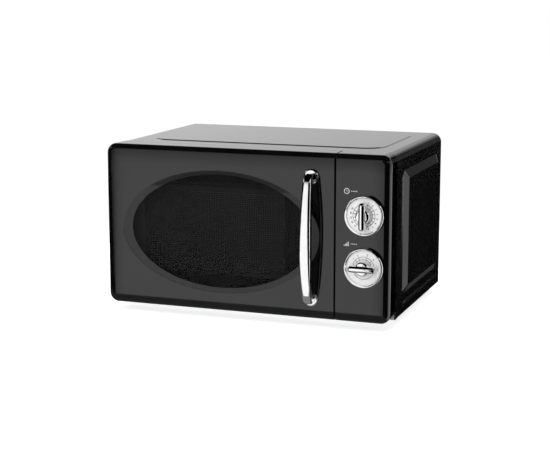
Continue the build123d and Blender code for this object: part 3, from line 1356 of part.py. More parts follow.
# Fan: shroud on the rear panel, motor on two arms, rotor with twisted blades
arm_l = 2 * (SHROUD_R + SHROUD_WALL)
with BuildPart() as fan_shroud:
    with BuildSketch(facing_front(Y_PANEL_IN)):
        with Locations((BAY_X, FAN_Z)):
            RectangleRounded(SHROUD_FLANGE, SHROUD_FLANGE, UNIT_CORNER_R)
            Circle(SHROUD_R, mode=Mode.SUBTRACT)
    extrude(amount=SHROUD_WALL)
    with BuildSketch(facing_front(Y_PANEL_IN)):
        with Locations((BAY_X, FAN_Z)):
            Circle(SHROUD_R + SHROUD_WALL)
            Circle(SHROUD_R, mode=Mode.SUBTRACT)
    extrude(amount=SHROUD_DEPTH)
    with BuildSketch(facing_front(Y_SHROUD)):
        with Locations((BAY_X, FAN_Z)):
            with GridLocations(FAN_ARM_W, FAN_MOTOR_W - FAN_ARM_W, 1, 2):
                Rectangle(arm_l, FAN_ARM_W)
            Circle(SHROUD_R + SHROUD_WALL, mode=Mode.INTERSECT)
    extrude(amount=FAN_ARM_T)
write(fan_shroud, "fan_shroud")

with BuildPart() as fan_motor:
    with BuildSketch(facing_front(Y_FAN_MOTOR)):
        with Locations((BAY_X, FAN_Z)):
            RectangleRounded(FAN_MOTOR_W, FAN_MOTOR_W, UNIT_CORNER_R)
            Circle(FAN_SHAFT_R + SHAFT_FIT, mode=Mode.SUBTRACT)
    extrude(amount=FAN_MOTOR_T)
write(fan_motor, "fan_motor")

y_rotor = Y_SHROUD + (SHROUD_DEPTH + FAN_HUB_L) / 2
with BuildPart() as fan_blade:
    with BuildSketch(Plane.YZ.offset(FAN_HUB_R - FAN_BLADE_T)):
        Rectangle(FAN_BLADE_CHORD * FAN_HUB_R / FAN_R, FAN_BLADE_T, rotation=FAN_ROOT_PITCH)
    with BuildSketch(Plane.YZ.offset(FAN_R)):
        Rectangle(FAN_BLADE_CHORD, FAN_BLADE_T, rotation=90 - FAN_TIP_PITCH)
    loft()
blade_turns = [
    Location((BAY_X, y_rotor - FAN_HUB_L / 2, FAN_Z), (0, number * 360 / FAN_BLADES, 0))
    for number in range(FAN_BLADES)
]
with BuildPart() as fan_rotor:
    with BuildSketch(facing_front(y_rotor)):
        with Locations((BAY_X, FAN_Z)):
            Circle(FAN_HUB_R)
    extrude(amount=FAN_HUB_L)
    with BuildSketch(facing_front(y_rotor)):
        with Locations((BAY_X, FAN_Z)):
            Circle(FAN_SHAFT_R)
    extrude(amount=y_rotor - Y_FAN_MOTOR + FAN_SHAFT_BITE)
    with Locations(*blade_turns):
        add(fan_blade.part)
write(fan_rotor, "fan_rotor")

# Oven lamp on the cavity wall, behind the light holes
with BuildPart() as oven_lamp:
    with BuildSketch(facing_right(CAVITY_WALL_X)):
        with Locations((LAMP_Y, LAMP_Z)):
            Rectangle(2 * LAMP_R + LAMP_HOLDER_T, 2 * LAMP_R)
            Rectangle(2 * LAMP_NECK_R, 2 * LAMP_NECK_R, mode=Mode.SUBTRACT)
    extrude(amount=LAMP_PLATE_T)
    with BuildSketch(facing_right(CAVITY_WALL_X + LAMP_PLATE_T)):
        with Locations((LAMP_Y, LAMP_Z)):
            Circle(LAMP_R)
    extrude(amount=LAMP_L)
write(oven_lamp, "oven_lamp")

# Mains filter board on the rear panel
with BuildPart() as filter_board:
    with BuildSketch(facing_front(Y_PANEL_IN)):
        with Locations((BOARD_X, BOARD_Z)):
            with GridLocations(BOARD_W - 2 * FUSE_R, BOARD_H - 2 * FUSE_R, 2, 2):
                Circle(FUSE_R)
    extrude(amount=BOARD_STANDOFF)
    with BuildSketch(facing_front(Y_PANEL_IN - BOARD_STANDOFF)):
        with Locations((BOARD_X, BOARD_Z)):
            Rectangle(BOARD_W, BOARD_H)
    extrude(amount=BOARD_T)
    with BuildSketch(facing_front(Y_PANEL_IN - BOARD_STANDOFF - BOARD_T)):
        with Locations((BOARD_X, BOARD_Z - BOARD_H / 4)):
            Circle(CHOKE_COIL_R)
        with Locations((BOARD_X, BOARD_Z + BOARD_H / 4)):
            Rectangle(FUSE_L, 2 * FUSE_R)
    extrude(amount=CHOKE_COIL_H)
write(filter_board, "filter_board")
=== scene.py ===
# Retro black microwave oven: finishes, printed dials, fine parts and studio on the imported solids.
import math

import bmesh
import bpy
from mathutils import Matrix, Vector


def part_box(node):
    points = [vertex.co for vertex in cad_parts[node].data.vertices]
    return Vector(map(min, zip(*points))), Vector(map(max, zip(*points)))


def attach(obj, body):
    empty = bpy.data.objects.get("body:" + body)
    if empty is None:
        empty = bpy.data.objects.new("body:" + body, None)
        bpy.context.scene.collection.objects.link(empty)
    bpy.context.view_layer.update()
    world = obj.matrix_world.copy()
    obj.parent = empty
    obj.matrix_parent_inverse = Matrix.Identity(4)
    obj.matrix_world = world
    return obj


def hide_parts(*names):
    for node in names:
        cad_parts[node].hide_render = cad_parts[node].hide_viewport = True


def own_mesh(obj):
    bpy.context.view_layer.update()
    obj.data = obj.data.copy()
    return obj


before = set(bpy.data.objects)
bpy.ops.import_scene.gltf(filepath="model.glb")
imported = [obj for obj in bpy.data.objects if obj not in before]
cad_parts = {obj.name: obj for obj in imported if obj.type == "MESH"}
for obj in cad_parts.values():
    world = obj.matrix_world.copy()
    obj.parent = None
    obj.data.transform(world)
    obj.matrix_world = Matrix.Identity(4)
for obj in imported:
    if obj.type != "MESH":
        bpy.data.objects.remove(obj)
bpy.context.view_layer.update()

MM = 0.001
QUARTER = math.radians(90)
SAME_POINT = 0.002 * MM


# Front of the oven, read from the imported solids
def node_middle(node):
    """The middle of a solid's box."""
    low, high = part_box(node)
    return (low + high) / 2


FACE_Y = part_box("control_panel")[0].y
DIAL_FACE_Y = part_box("timer_dial")[0].y
DIAL_X = node_middle("timer_dial").x
TIMER_Z = node_middle("timer_dial").z
POWER_Z = node_middle("power_dial").z
WINDOW = node_middle("door_window")
SCREEN = node_middle("door_screen")

# Oval opening in the door: just outside its outer rim, a stretch so great that depth doesn't count, how far
# behind the face its bevel is told from the face, and the heights above which its upper part and the pan get
# painted shade
OVAL_HALF_W = 155.2 * MM
OVAL_HALF_H = 91.3 * MM
OVAL_DEPTH = 1000
BEVEL_BEHIND = 0.15 * MM
BEVEL_PAINTED_SHADE_Z = 196.0 * MM
PAN_PAINTED_SHADE_Z = 201.5 * MM

# Top of the front: the heights between which painted shade dims its gloss, and the gloss below, above and on
# the bevel
TOP_SHADE_LOW = 229.0 * MM
TOP_SHADE_HIGH = 249.5 * MM
FACE_GLOSS = 0.5
TOP_SHADE_GLOSS = 0.27
BEVEL_GLOSS = 0.2

# Dial printing, with its turns in degrees from the top, and what share of a bar's corners is cut off and of a
# dot's radius is inset
PRINT_T = 0.05 * MM
BAR_CORNER = 0.2
DOT_INSET = 0.4
OUTER_LINE_R = 16.1 * MM
INNER_LINE_R = 12.2 * MM
LOWER_LINE_R = 16.0 * MM
LINE_W = 0.55 * MM
LINE_STEPS = 120
TICK_W = 0.6 * MM
TICK_OVER = 0.8 * MM
NUMERAL_R = 19.4 * MM
TIMER_NUMERAL = 3.4 * MM
POWER_NUMERAL = 3.8 * MM
NUMERAL_BOLD = 0.08 * MM
TIMER_STEP = 20
TIMER_LABELS = ("0", "1", "2", "3", "4", "5", "6", "7", "8", "9", "10", "15", "20", "25", "30", "35")
POWER_SETTINGS = (-48, -26, 17, 48, 92)
POWER_SCALE = (-75, 93)
LOWER_LINE_GAP = (-110, 102)

# Panel signs: a clock and four rising bars, each with a row of four dots beside it
SIGN_X = 156.4 * MM
ROW_COUNT = 4
CLOCK_Z = 204.0 * MM
CLOCK_R = 3.6 * MM
CLOCK_LINE = 0.9 * MM
HAND_W = 0.7 * MM
LONG_HAND = 2.6 * MM
LONG_HAND_MIDDLE = 1.0 * MM
SHORT_HAND = 2.2 * MM
SHORT_HAND_MIDDLE = 0.8 * MM
BARS_Z = 128.5 * MM
BAR_W = 1.3 * MM
BAR_FIRST = 1.6 * MM
BAR_RISE = 1.5 * MM
BAR_STEP = 2.0 * MM
BARS_LEFT = 3.0 * MM
BARS_FOOT = 3.2 * MM
DOT_R = 0.75 * MM
DOT_FIRST = 7.0 * MM
DOT_STEP = 2.6 * MM

# Door screen
SCREEN_PITCH = 2.75 * MM
SCREEN_HOLE_R = 0.98 * MM
SCREEN_COLUMNS = 79
SCREEN_ROWS = 45
SCREEN_FIELD_W = SCREEN_PITCH * SCREEN_COLUMNS
SCREEN_FIELD_H = SCREEN_PITCH * SCREEN_ROWS
SCREEN_SHEET = 0.5 * MM

# Knobs
KNOB_HUB_R = 10.5 * MM
KNOB_HUB_H = 10.0 * MM
KNOB_HUB_EDGE = 3.0 * MM
GRIP_L = 41.0 * MM
GRIP_W = 10.4 * MM
GRIP_END_R = 4.4 * MM
GRIP_DRAFT = 1.8 * MM
GRIP_SLOPE = 2.6 * MM
GRIP_EDGE = 0.25 * MM
SAME_LEVEL = 0.01 * MM

# Closing spring of the door hook
SPRING_WIRE_R = 0.45 * MM
SPRING_TURNS = 7
SPRING_STEPS = 28

# Case screws
SCREW_HEAD_R = 4.0 * MM
SCREW_HEAD_T = 2.0 * MM
SCREW_HEAD_EDGE = 1.3 * MM
SCREW_SHANK_R = 1.8 * MM
SCREW_SHANK_L = 5.0 * MM
SCREW_FACE_Y = 171.0 * MM
RECESS_L = 4.4 * MM
RECESS_W = 0.9 * MM
RECESS_CUT = 2.2 * MM
RECESS_TAPER = 0.55
SCREW_SPOTS = tuple(
    (side * x * MM, z * MM) for side in (-1, 1) for x, z in ((212.0, 74.5), (212.0, 195.5), (109.5, 248.0))
)

# Feet: their places, and half of their section from the screw well round to the top, in millimetres
FOOT_STEPS = 48
FOOT_SPOTS = tuple((x * MM, y * MM) for x in (-171.0, 171.0) for y in (-52.0, 129.0))
FOOT_PROFILE = (
    (0.0, 3.0), (3.4, 3.0), (3.4, 0.9), (4.0, 0.3), (9.2, 0.0), (9.8, 0.3), (10.1, 1.0), (10.5, 4.4),
    (10.0, 4.8), (10.0, 5.6), (10.6, 6.0), (11.1, 9.4), (10.6, 9.8), (10.6, 10.6), (11.3, 11.0),
    (11.9, 13.2), (11.6, 13.8), (11.0, 14.0), (0.0, 14.0),
)


# Working by hand
def alone(piece):
    """Leaves one piece selected and active."""
    bpy.ops.object.select_all(action="DESELECT")
    piece.select_set(True)
    bpy.context.view_layer.objects.active = piece


def named(name, size=(1, 1, 1)):
    """Names the shape that was just added, and puts its place and size into its mesh."""
    piece = bpy.context.object
    piece.name = name
    piece.scale = size
    alone(piece)
    bpy.ops.object.transform_apply(location=True, rotation=True, scale=True)
    return piece


def edit(piece):
    """Opens a piece for editing, with all of it selected."""
    alone(piece)
    bpy.ops.object.mode_set(mode="EDIT")
    bpy.ops.mesh.select_all(action="SELECT")


def close():
    """Ends the editing."""
    bpy.ops.object.mode_set(mode="OBJECT")


def pick(piece, kind, wanted):
    """In the open piece, selects the vertices, edges or faces that are wanted."""
    bpy.ops.mesh.select_mode(type=kind)
    bpy.ops.mesh.select_all(action="DESELECT")
    shape = bmesh.from_edit_mesh(piece.data)
    parts = {"VERT": shape.verts, "EDGE": shape.edges, "FACE": shape.faces}[kind]
    for part in parts:
        part.select_set(wanted(part))
    bmesh.update_edit_mesh(piece.data)


def looks_to_front(face):
    """True for a face that looks straight to the front."""
    return face.normal.y < -0.9


def faced_outwards():
    """Turns all faces of the open piece outwards."""
    bpy.ops.mesh.select_all(action="SELECT")
    bpy.ops.mesh.normals_make_consistent(inside=False)


def modified(piece, kind, **settings):
    """Adds a modifier to a piece and applies it."""
    alone(piece)
    modifier = piece.modifiers.new(kind.title(), kind)
    for setting, value in settings.items():
        setattr(modifier, setting, value)
    bpy.ops.object.modifier_apply(modifier=modifier.name)


def joined(name, pieces):
    """Makes several pieces one."""
    bpy.ops.object.select_all(action="DESELECT")
    for piece in pieces:
        piece.select_set(True)
    bpy.context.view_layer.objects.active = pieces[0]
    bpy.ops.object.join()
    return named(name)


def repeated(name, piece, moves):
    """A piece and its moved copies, each with a mesh of its own, made one."""
    pieces = [piece]
    for move in moves:
        alone(piece)
        bpy.ops.object.duplicate(linked=False)
        bpy.ops.transform.translate(value=move)
        pieces.append(named(piece.name))
    return joined(name, pieces)


def smooth(piece, angle):
    """Smooth shading over everything flatter than an angle."""
    alone(piece)
    bpy.ops.object.shade_smooth_by_angle(angle=math.radians(angle))


def fitted(piece, coat, body, slot, *nodes):
    """Gives a finished piece its coat, its body and the solids that it stands for."""
    piece.data.materials.clear()
    piece.data.materials.append(coat)
    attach(piece, body)
    if nodes:
        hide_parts(*nodes)


# Finishes. A factor's middle range is what noise mostly covers. A wave of scale 1 is WAVE_L long, in metres.
# Gloss changes in smaller patches than tone does. Wiping leaves darker and duller marks on glass. The sockets
# of a mix are its two inputs and its result, for a colour and for a value.
MIDDLE_RANGE = (0.3, 0.7)
WAVE_L = 2 * math.pi / 20
GLOSS_PATCHES = 2.7
GRAIN_STRENGTH = 0.35
WIPED_TINT = 0.94
WIPED_ROUGH = 2.5
MIX_SOCKETS = {"RGBA": (6, 7, 2), "VALUE": (2, 3, 0)}


def opened(coat):
    """A finish's node tree and its main shader."""
    return coat.node_tree, coat.node_tree.nodes["Principled BSDF"]


def finish(name):
    """A new finish with its node tree and its main shader."""
    coat = bpy.data.materials.new(name)
    coat.use_nodes = True
    return (coat, *opened(coat))


def own_place(tree, middle=(0, 0, 0), stretch=(1, 1, 1)):
    """Coordinates of the piece itself, measured from a middle and stretched."""
    place = tree.nodes.new("ShaderNodeTexCoord")
    mapping = tree.nodes.new("ShaderNodeMapping")
    mapping.vector_type = "TEXTURE"
    mapping.inputs["Location"].default_value = middle
    mapping.inputs["Scale"].default_value = stretch
    tree.links.new(place.outputs["Object"], mapping.inputs["Vector"])
    return mapping.outputs["Vector"]


def own_axes(tree):
    """The piece's own x, y and z."""
    axes = tree.nodes.new("ShaderNodeSeparateXYZ")
    tree.links.new(own_place(tree), axes.inputs["Vector"])
    return axes.outputs


def distance(tree, place):
    """How far a place is from its middle."""
    away = tree.nodes.new("ShaderNodeVectorMath")
    away.operation = "LENGTH"
    tree.links.new(place, away.inputs[0])
    return away.outputs["Value"]


def noise(tree, place, scale, detail):
    """Cloudy noise, scale in patches to the metre."""
    cloud = tree.nodes.new("ShaderNodeTexNoise")
    cloud.inputs["Scale"].default_value = scale
    cloud.inputs["Detail"].default_value = detail
    tree.links.new(place, cloud.inputs["Vector"])
    return cloud.outputs["Fac"]


def ridges(tree, place, pitch, direction, rings=False):
    """Even ridges at a pitch along one axis, or rings round it."""
    wave = tree.nodes.new("ShaderNodeTexWave")
    if rings:
        wave.wave_type = "RINGS"
        wave.rings_direction = direction
    else:
        wave.bands_direction = direction
    wave.inputs["Scale"].default_value = WAVE_L / pitch
    tree.links.new(place, wave.inputs["Vector"])
    return wave.outputs["Fac"]


def ranged(tree, factor, ends, low, high):
    """A factor's range between two ends, carried over to another range."""
    carried = tree.nodes.new("ShaderNodeMapRange")
    carried.inputs["From Min"].default_value = ends[0]
    carried.inputs["From Max"].default_value = ends[1]
    carried.inputs["To Min"].default_value = low
    carried.inputs["To Max"].default_value = high
    tree.links.new(factor, carried.inputs["Value"])
    return carried.outputs["Result"]


def spread(tree, factor, socket, low, high):
    """Drives a socket between two values by a factor's middle range."""
    tree.links.new(ranged(tree, factor, MIDDLE_RANGE, low, high), socket)


def toned(tree, factor, socket, dark, light, ends=MIDDLE_RANGE):
    """Drives a colour socket between two tones by a factor."""
    ramp = tree.nodes.new("ShaderNodeValToRGB")
    for stop, end, tone in zip(ramp.color_ramp.elements, ends, (dark, light)):
        stop.position = end
        stop.color = (*tone, 1.0)
    tree.links.new(factor, ramp.inputs["Fac"])
    tree.links.new(ramp.outputs["Color"], socket)


def raised(tree, shader, height, depth, strength):
    """Raises the surface by a height factor, depth in metres."""
    bump = tree.nodes.new("ShaderNodeBump")
    bump.inputs["Distance"].default_value = depth
    bump.inputs["Strength"].default_value = strength
    tree.links.new(height, bump.inputs["Height"])
    tree.links.new(bump.outputs["Normal"], shader.inputs["Normal"])


def combined(tree, operation, first, second):
    """Two factors put together by an operation, such as their product or the greater of them."""
    both = tree.nodes.new("ShaderNodeMath")
    both.operation = operation
    tree.links.new(first, both.inputs[0])
    tree.links.new(second, both.inputs[1])
    return both.outputs["Value"]


def compared(tree, value, operation, limit):
    """1 where a value is over or under a limit, otherwise 0."""
    test = tree.nodes.new("ShaderNodeMath")
    test.operation = operation
    test.inputs[1].default_value = limit
    tree.links.new(value, test.inputs[0])
    return test.outputs["Value"]


def overlaid(tree, factor, socket, tone):
    """Lays a tone or a value over what drives a socket, where the factor is 1."""
    under = socket.links[0].from_socket
    mix = tree.nodes.new("ShaderNodeMix")
    if socket.type == "RGBA":
        mix.data_type = "RGBA"
    first, second, result = MIX_SOCKETS[socket.type]
    tree.links.new(under, mix.inputs[first])
    mix.inputs[second].default_value = tone
    tree.links.new(factor, mix.inputs[0])
    tree.links.new(mix.outputs[result], socket)


def grey(level):
    """A neutral tone."""
    return (level, level, level)


def solid_grey(level):
    """A neutral tone with full cover."""
    return (*grey(level), 1)


def coated(name, dark, light, rough, patches, grain, depth, metal=0.0, refraction=1.5):
    """A finish with cloudy tone and gloss, and a fine grain in its surface."""
    coat, tree, shader = finish(name)
    place = own_place(tree)
    toned(tree, noise(tree, place, patches, detail=3.0), shader.inputs["Base Color"], dark, light)
    gloss = noise(tree, place, patches * GLOSS_PATCHES, detail=4.0)
    spread(tree, gloss, shader.inputs["Roughness"], *rough)
    raised(tree, shader, noise(tree, place, grain, detail=2.0), depth, GRAIN_STRENGTH)
    shader.inputs["Metallic"].default_value = metal
    shader.inputs["IOR"].default_value = refraction
    return coat


def front_finish():
    """Black gloss with painted shade that dims it towards the top, with a satin bevel round the oval, darker
    in its upper part by painted shade.
    """
    coat = coated(
        "front_gloss", grey(0.0015), grey(0.003), rough=(0.03, 0.07), patches=22, grain=260,
        depth=0.004 * MM, refraction=1.612,
    )
    tree, shader = opened(coat)
    oval = own_place(tree, (WINDOW.x, 0, WINDOW.z), (OVAL_HALF_W, OVAL_DEPTH, OVAL_HALF_H))
    inside = compared(tree, distance(tree, oval), "LESS_THAN", 1.0)
    axes = own_axes(tree)
    behind = compared(tree, axes["Y"], "GREATER_THAN", FACE_Y + BEVEL_BEHIND)
    bevel = combined(tree, "MULTIPLY", inside, behind)
    # Painted shade: the upper part of the bevel is darkened above a set height
    upper = compared(tree, axes["Z"], "GREATER_THAN", BEVEL_PAINTED_SHADE_Z)
    painted_shade = combined(tree, "MULTIPLY", bevel, upper)
    overlaid(tree, bevel, shader.inputs["Base Color"], solid_grey(0.036))
    overlaid(tree, painted_shade, shader.inputs["Base Color"], solid_grey(0.012))
    overlaid(tree, bevel, shader.inputs["Roughness"], 0.5)
    # Painted shade: the gloss, and so the reflection, is dimmed towards the top edge
    top_shade = ranged(tree, axes["Z"], (TOP_SHADE_LOW, TOP_SHADE_HIGH), FACE_GLOSS, TOP_SHADE_GLOSS)
    tree.links.new(top_shade, shader.inputs["Specular IOR Level"])
    overlaid(tree, bevel, shader.inputs["Specular IOR Level"], BEVEL_GLOSS)
    return coat


def pan_finish():
    """Dark enamel of the door pan, made paler left of the screen by painted light and black above the shade
    line by painted shade.
    """
    coat = coated(
        "pan_enamel", grey(0.018), grey(0.026), rough=(0.35, 0.5), patches=40, grain=400, depth=0.02 * MM
    )
    tree, shader = opened(coat)
    axes = own_axes(tree)
    # Painted light: the pan is made paler left of the screen
    left = compared(tree, axes["X"], "LESS_THAN", SCREEN.x - SCREEN_FIELD_W / 2)
    overlaid(tree, left, shader.inputs["Base Color"], solid_grey(0.11))
    # Painted shade: the pan turns black above a set height
    painted_shade = compared(tree, axes["Z"], "GREATER_THAN", PAN_PAINTED_SHADE_Z)
    overlaid(tree, painted_shade, shader.inputs["Base Color"], solid_grey(0.002))
    shader.inputs["Specular IOR Level"].default_value = 0.1
    return coat


def screen_finish():
    """Paint of the perforated sheet, darker on its plain border at the right and below."""
    coat = coated(
        "screen_paint", grey(0.05), grey(0.065), rough=(0.4, 0.55), patches=60, grain=1500,
        depth=0.02 * MM, refraction=1.2,
    )
    tree, shader = opened(coat)
    axes = own_axes(tree)
    right = compared(tree, axes["X"], "GREATER_THAN", SCREEN.x + SCREEN_FIELD_W / 2)
    below = compared(tree, axes["Z"], "LESS_THAN", SCREEN.z - SCREEN_FIELD_H / 2)
    for border in (right, below):
        overlaid(tree, border, shader.inputs["Base Color"], solid_grey(0.022))
    return coat


def glazed(name, tint, rough, refraction):
    """Clear or tinted glass with faint wiping marks."""
    coat, tree, shader = finish(name)
    place = own_place(tree, stretch=(3, 1, 1))
    wiped = [WIPED_TINT * part for part in tint]
    toned(tree, noise(tree, place, scale=9, detail=2.0), shader.inputs["Base Color"], wiped, tint)
    marks = noise(tree, place, scale=30, detail=4.0)
    spread(tree, marks, shader.inputs["Roughness"], rough, rough * WIPED_ROUGH)
    shader.inputs["Transmission Weight"].default_value = 1.0
    shader.inputs["IOR"].default_value = refraction
    return coat


def turned_face(name, middle):
    """Silver-white dial face, finely turned round its middle."""
    coat, tree, shader = finish(name)
    place = own_place(tree, middle)
    cloud = noise(tree, place, scale=60, detail=3.0)
    toned(tree, cloud, shader.inputs["Base Color"], grey(0.92), grey(0.96))
    shader.inputs["Metallic"].default_value = 0.3
    spread(tree, noise(tree, place, scale=500, detail=2.0), shader.inputs["Roughness"], 0.28, 0.4)
    rings = ridges(tree, place, 0.35 * MM, "Y", rings=True)
    raised(tree, shader, rings, depth=0.02 * MM, strength=0.3)
    return coat


def zinc_coat():
    """Zinc-coated sheet with its crystal pattern."""
    coat, tree, shader = finish("spangled_zinc")
    place = own_place(tree)
    crystal = tree.nodes.new("ShaderNodeTexVoronoi")
    crystal.inputs["Scale"].default_value = 110
    tree.links.new(place, crystal.inputs["Vector"])
    tone = tree.nodes.new("ShaderNodeSeparateColor")
    tree.links.new(crystal.outputs["Color"], tone.inputs["Color"])
    dull = (0.55, 0.56, 0.57)
    bright = (0.64, 0.65, 0.66)
    toned(tree, tone.outputs["Red"], shader.inputs["Base Color"], dull, bright, (0, 1))
    spread(tree, tone.outputs["Green"], shader.inputs["Roughness"], 0.34, 0.44)
    raised(tree, shader, noise(tree, place, scale=700, detail=2.0), depth=0.02 * MM, strength=0.3)
    shader.inputs["Metallic"].default_value = 1.0
    return coat


def ridged(name, dark, light, rough, pitch, direction, depth, metal):
    """Wound wire or stacked sheet: a finish with even ridges along one axis."""
    coat, tree, shader = finish(name)
    place = own_place(tree)
    toned(tree, noise(tree, place, scale=120, detail=3.0), shader.inputs["Base Color"], dark, light)
    spread(tree, noise(tree, place, scale=300, detail=3.0), shader.inputs["Roughness"], *rough)
    raised(tree, shader, ridges(tree, place, pitch, direction), depth, strength=0.6)
    shader.inputs["Metallic"].default_value = metal
    return coat


def enamel_coat():
    """Pale baked enamel with small darker specks."""
    coat, tree, shader = finish("speckled_enamel")
    place = own_place(tree)
    specks = noise(tree, place, scale=1500, detail=1.0)
    toned(tree, specks, shader.inputs["Base Color"], grey(0.40), grey(0.56), (0.26, 0.36))
    spread(tree, noise(tree, place, scale=40, detail=4.0), shader.inputs["Roughness"], 0.22, 0.36)
    raised(tree, shader, noise(tree, place, scale=350, detail=2.0), depth=0.03 * MM, strength=0.25)
    return coat


front_gloss = front_finish()
case_gloss = coated(
    "case_gloss", grey(0.008), grey(0.011), rough=(0.06, 0.11),
    patches=18, grain=420, depth=0.003 * MM, refraction=1.42,
)
bright_chrome = coated(
    "bright_chrome", grey(0.92), grey(0.97), rough=(0.02, 0.06),
    patches=90, grain=500, depth=0.002 * MM, metal=1.0,
)
timer_face = turned_face("timer_face", (DIAL_X, DIAL_FACE_Y, TIMER_Z))
power_face = turned_face("power_face", (DIAL_X, DIAL_FACE_Y, POWER_Z))
print_black = coated(
    "print_black", grey(0.004), grey(0.010), rough=(0.4, 0.55),
    patches=300, grain=2500, depth=0.01 * MM,
)
print_pale = coated(
    "print_pale", grey(0.62), grey(0.7), rough=(0.4, 0.55),
    patches=300, grain=2500, depth=0.01 * MM,
)
smoked_pane = glazed("smoked_pane", (0.40, 0.40, 0.41), rough=0.015, refraction=1.15)
clear_pane = glazed("clear_pane", (0.86, 0.90, 0.89), rough=0.015, refraction=1.45)
screen_paint = screen_finish()
pan_enamel = pan_finish()
speckled_enamel = enamel_coat()
spangled_zinc = zinc_coat()
black_moulding = coated(
    "black_moulding", grey(0.018), grey(0.028), rough=(0.4, 0.52),
    patches=50, grain=1800, depth=0.03 * MM,
)
pale_moulding = coated(
    "pale_moulding", (0.56, 0.55, 0.51), (0.66, 0.65, 0.60), rough=(0.38, 0.5),
    patches=50, grain=1600, depth=0.03 * MM,
)
red_moulding = coated(
    "red_moulding", (0.26, 0.016, 0.012), (0.36, 0.025, 0.02), rough=(0.35, 0.45),
    patches=60, grain=1600, depth=0.03 * MM,
)
wound_copper = ridged(
    "wound_copper", (0.32, 0.12, 0.05), (0.48, 0.20, 0.09), rough=(0.28, 0.42),
    pitch=0.9 * MM, direction="Z", depth=0.2 * MM, metal=0.9,
)
stacked_core = ridged(
    "stacked_core", (0.16, 0.15, 0.14), (0.30, 0.29, 0.27), rough=(0.42, 0.6),
    pitch=0.7 * MM, direction="Y", depth=0.06 * MM, metal=0.8,
)
bare_aluminium = coated(
    "bare_aluminium", grey(0.60), grey(0.72), rough=(0.28, 0.42),
    patches=70, grain=900, depth=0.02 * MM, metal=1.0,
)
layered_mica = coated(
    "layered_mica", (0.36, 0.31, 0.22), (0.50, 0.45, 0.34), rough=(0.3, 0.5),
    patches=260, grain=900, depth=0.05 * MM,
)
lamp_glass = coated(
    "lamp_glass", (0.70, 0.68, 0.62), (0.80, 0.78, 0.72), rough=(0.1, 0.2),
    patches=60, grain=400, depth=0.02 * MM,
)
board_green = coated(
    "board_green", (0.02, 0.09, 0.04), (0.03, 0.13, 0.06), rough=(0.3, 0.45),
    patches=220, grain=900, depth=0.05 * MM,
)
foot_rubber = coated(
    "foot_rubber", grey(0.014), grey(0.026), rough=(0.65, 0.82),
    patches=60, grain=1500, depth=0.05 * MM,
)
spring_steel = coated(
    "spring_steel", grey(0.50), grey(0.62), rough=(0.22, 0.34),
    patches=200, grain=1200, depth=0.01 * MM, metal=1.0,
)

DRESSES = (
    (front_gloss, ("door_frame", "control_panel")),
    (case_gloss, ("outer_cover",)),
    (bright_chrome, ("handle_bar", "handle_rosettes", "dial_bezels")),
    (timer_face, ("timer_dial",)),
    (power_face, ("power_dial",)),
    (smoked_pane, ("door_window",)),
    (clear_pane, ("inner_window", "glass_tray")),
    (pan_enamel, ("door_panel",)),
    (speckled_enamel, ("front_plate", "cavity_wrap", "cavity_floor", "cavity_rear")),
    (spangled_zinc, (
        "base_plate", "rear_panel", "waveguide", "magnetron_yoke", "magnetron_filter_box", "fan_shroud",
        "capacitor_strap", "turntable_motor",
    )),
    (spring_steel, (
        "door_hinges", "handle_screws", "thermal_cutouts", "timer_shaft", "power_shaft", "timer_unit",
    )),
    (black_moulding, ("choke_cover", "cord_inlet", "latch_hook", "hv_diode", "fan_rotor")),
    (pale_moulding, (
        "latch_body", "power_selector", "drive_coupler", "roller_ring", "roller_1", "roller_2", "roller_3",
        "upper_plunger", "lower_plungers",
    )),
    (red_moulding, ("interlock_switches",)),
    (wound_copper, ("transformer_coils",)),
    (stacked_core, ("transformer_core", "fan_motor")),
    (bare_aluminium, ("capacitor", "magnetron_anode")),
    (layered_mica, ("waveguide_cover",)),
    (lamp_glass, ("oven_lamp",)),
    (board_green, ("filter_board",)),
)
for coat, names in DRESSES:
    for name in names:
        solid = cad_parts[name]
        solid.data.materials.clear()
        solid.data.materials.append(coat)


# Door screen
def perforated_screen():
    """One cell with its hole, repeated into a sheet with a plain border."""
    low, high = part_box("door_screen")
    cell = SCREEN - Vector((SCREEN_FIELD_W - SCREEN_PITCH, 0, SCREEN_FIELD_H - SCREEN_PITCH)) / 2
    bpy.ops.mesh.primitive_circle_add(
        vertices=8, radius=SCREEN_HOLE_R, location=cell, rotation=(QUARTER, 0, 0)
    )
    screen = named("perforated_screen")
    edit(screen)
    bpy.ops.mesh.extrude_edges_move()
    grow = SCREEN_PITCH / 2 / SCREEN_HOLE_R
    bpy.ops.transform.resize(value=(grow, 1, grow), center_override=cell)

    def is_corner(vert):
        beside = vert.co - cell
        outer = beside.length > SCREEN_HOLE_R * 1.2
        return outer and abs(abs(beside.x) - abs(beside.z)) < SCREEN_PITCH / 20

    pick(screen, "VERT", is_corner)
    bpy.ops.transform.resize(value=(math.sqrt(2), 1, math.sqrt(2)), center_override=cell)
    close()
    for count, step in ((SCREEN_COLUMNS, (SCREEN_PITCH, 0, 0)), (SCREEN_ROWS, (0, 0, SCREEN_PITCH))):
        modified(
            screen, "ARRAY", count=count, use_relative_offset=False, use_constant_offset=True,
            constant_offset_displace=step, use_merge_vertices=True, merge_threshold=SCREEN_PITCH / 50,
        )

    def is_rim(edge):
        for axis, reach in ((0, SCREEN_FIELD_W / 2), (2, SCREEN_FIELD_H / 2)):
            off_rim = [abs(abs(vert.co[axis] - SCREEN[axis]) - reach) for vert in edge.verts]
            if max(off_rim) < SCREEN_PITCH / 20:
                return True
        return False

    edit(screen)
    pick(screen, "EDGE", is_rim)
    bpy.ops.mesh.extrude_edges_move()
    size = high - low
    border = (size.x / SCREEN_FIELD_W, 1, size.z / SCREEN_FIELD_H)
    bpy.ops.transform.resize(value=border, center_override=SCREEN)
    faced_outwards()
    close()
    modified(screen, "SOLIDIFY", thickness=SCREEN_SHEET, offset=0)
    return screen


fitted(perforated_screen(), screen_paint, "door", "screen_black", "door_screen")


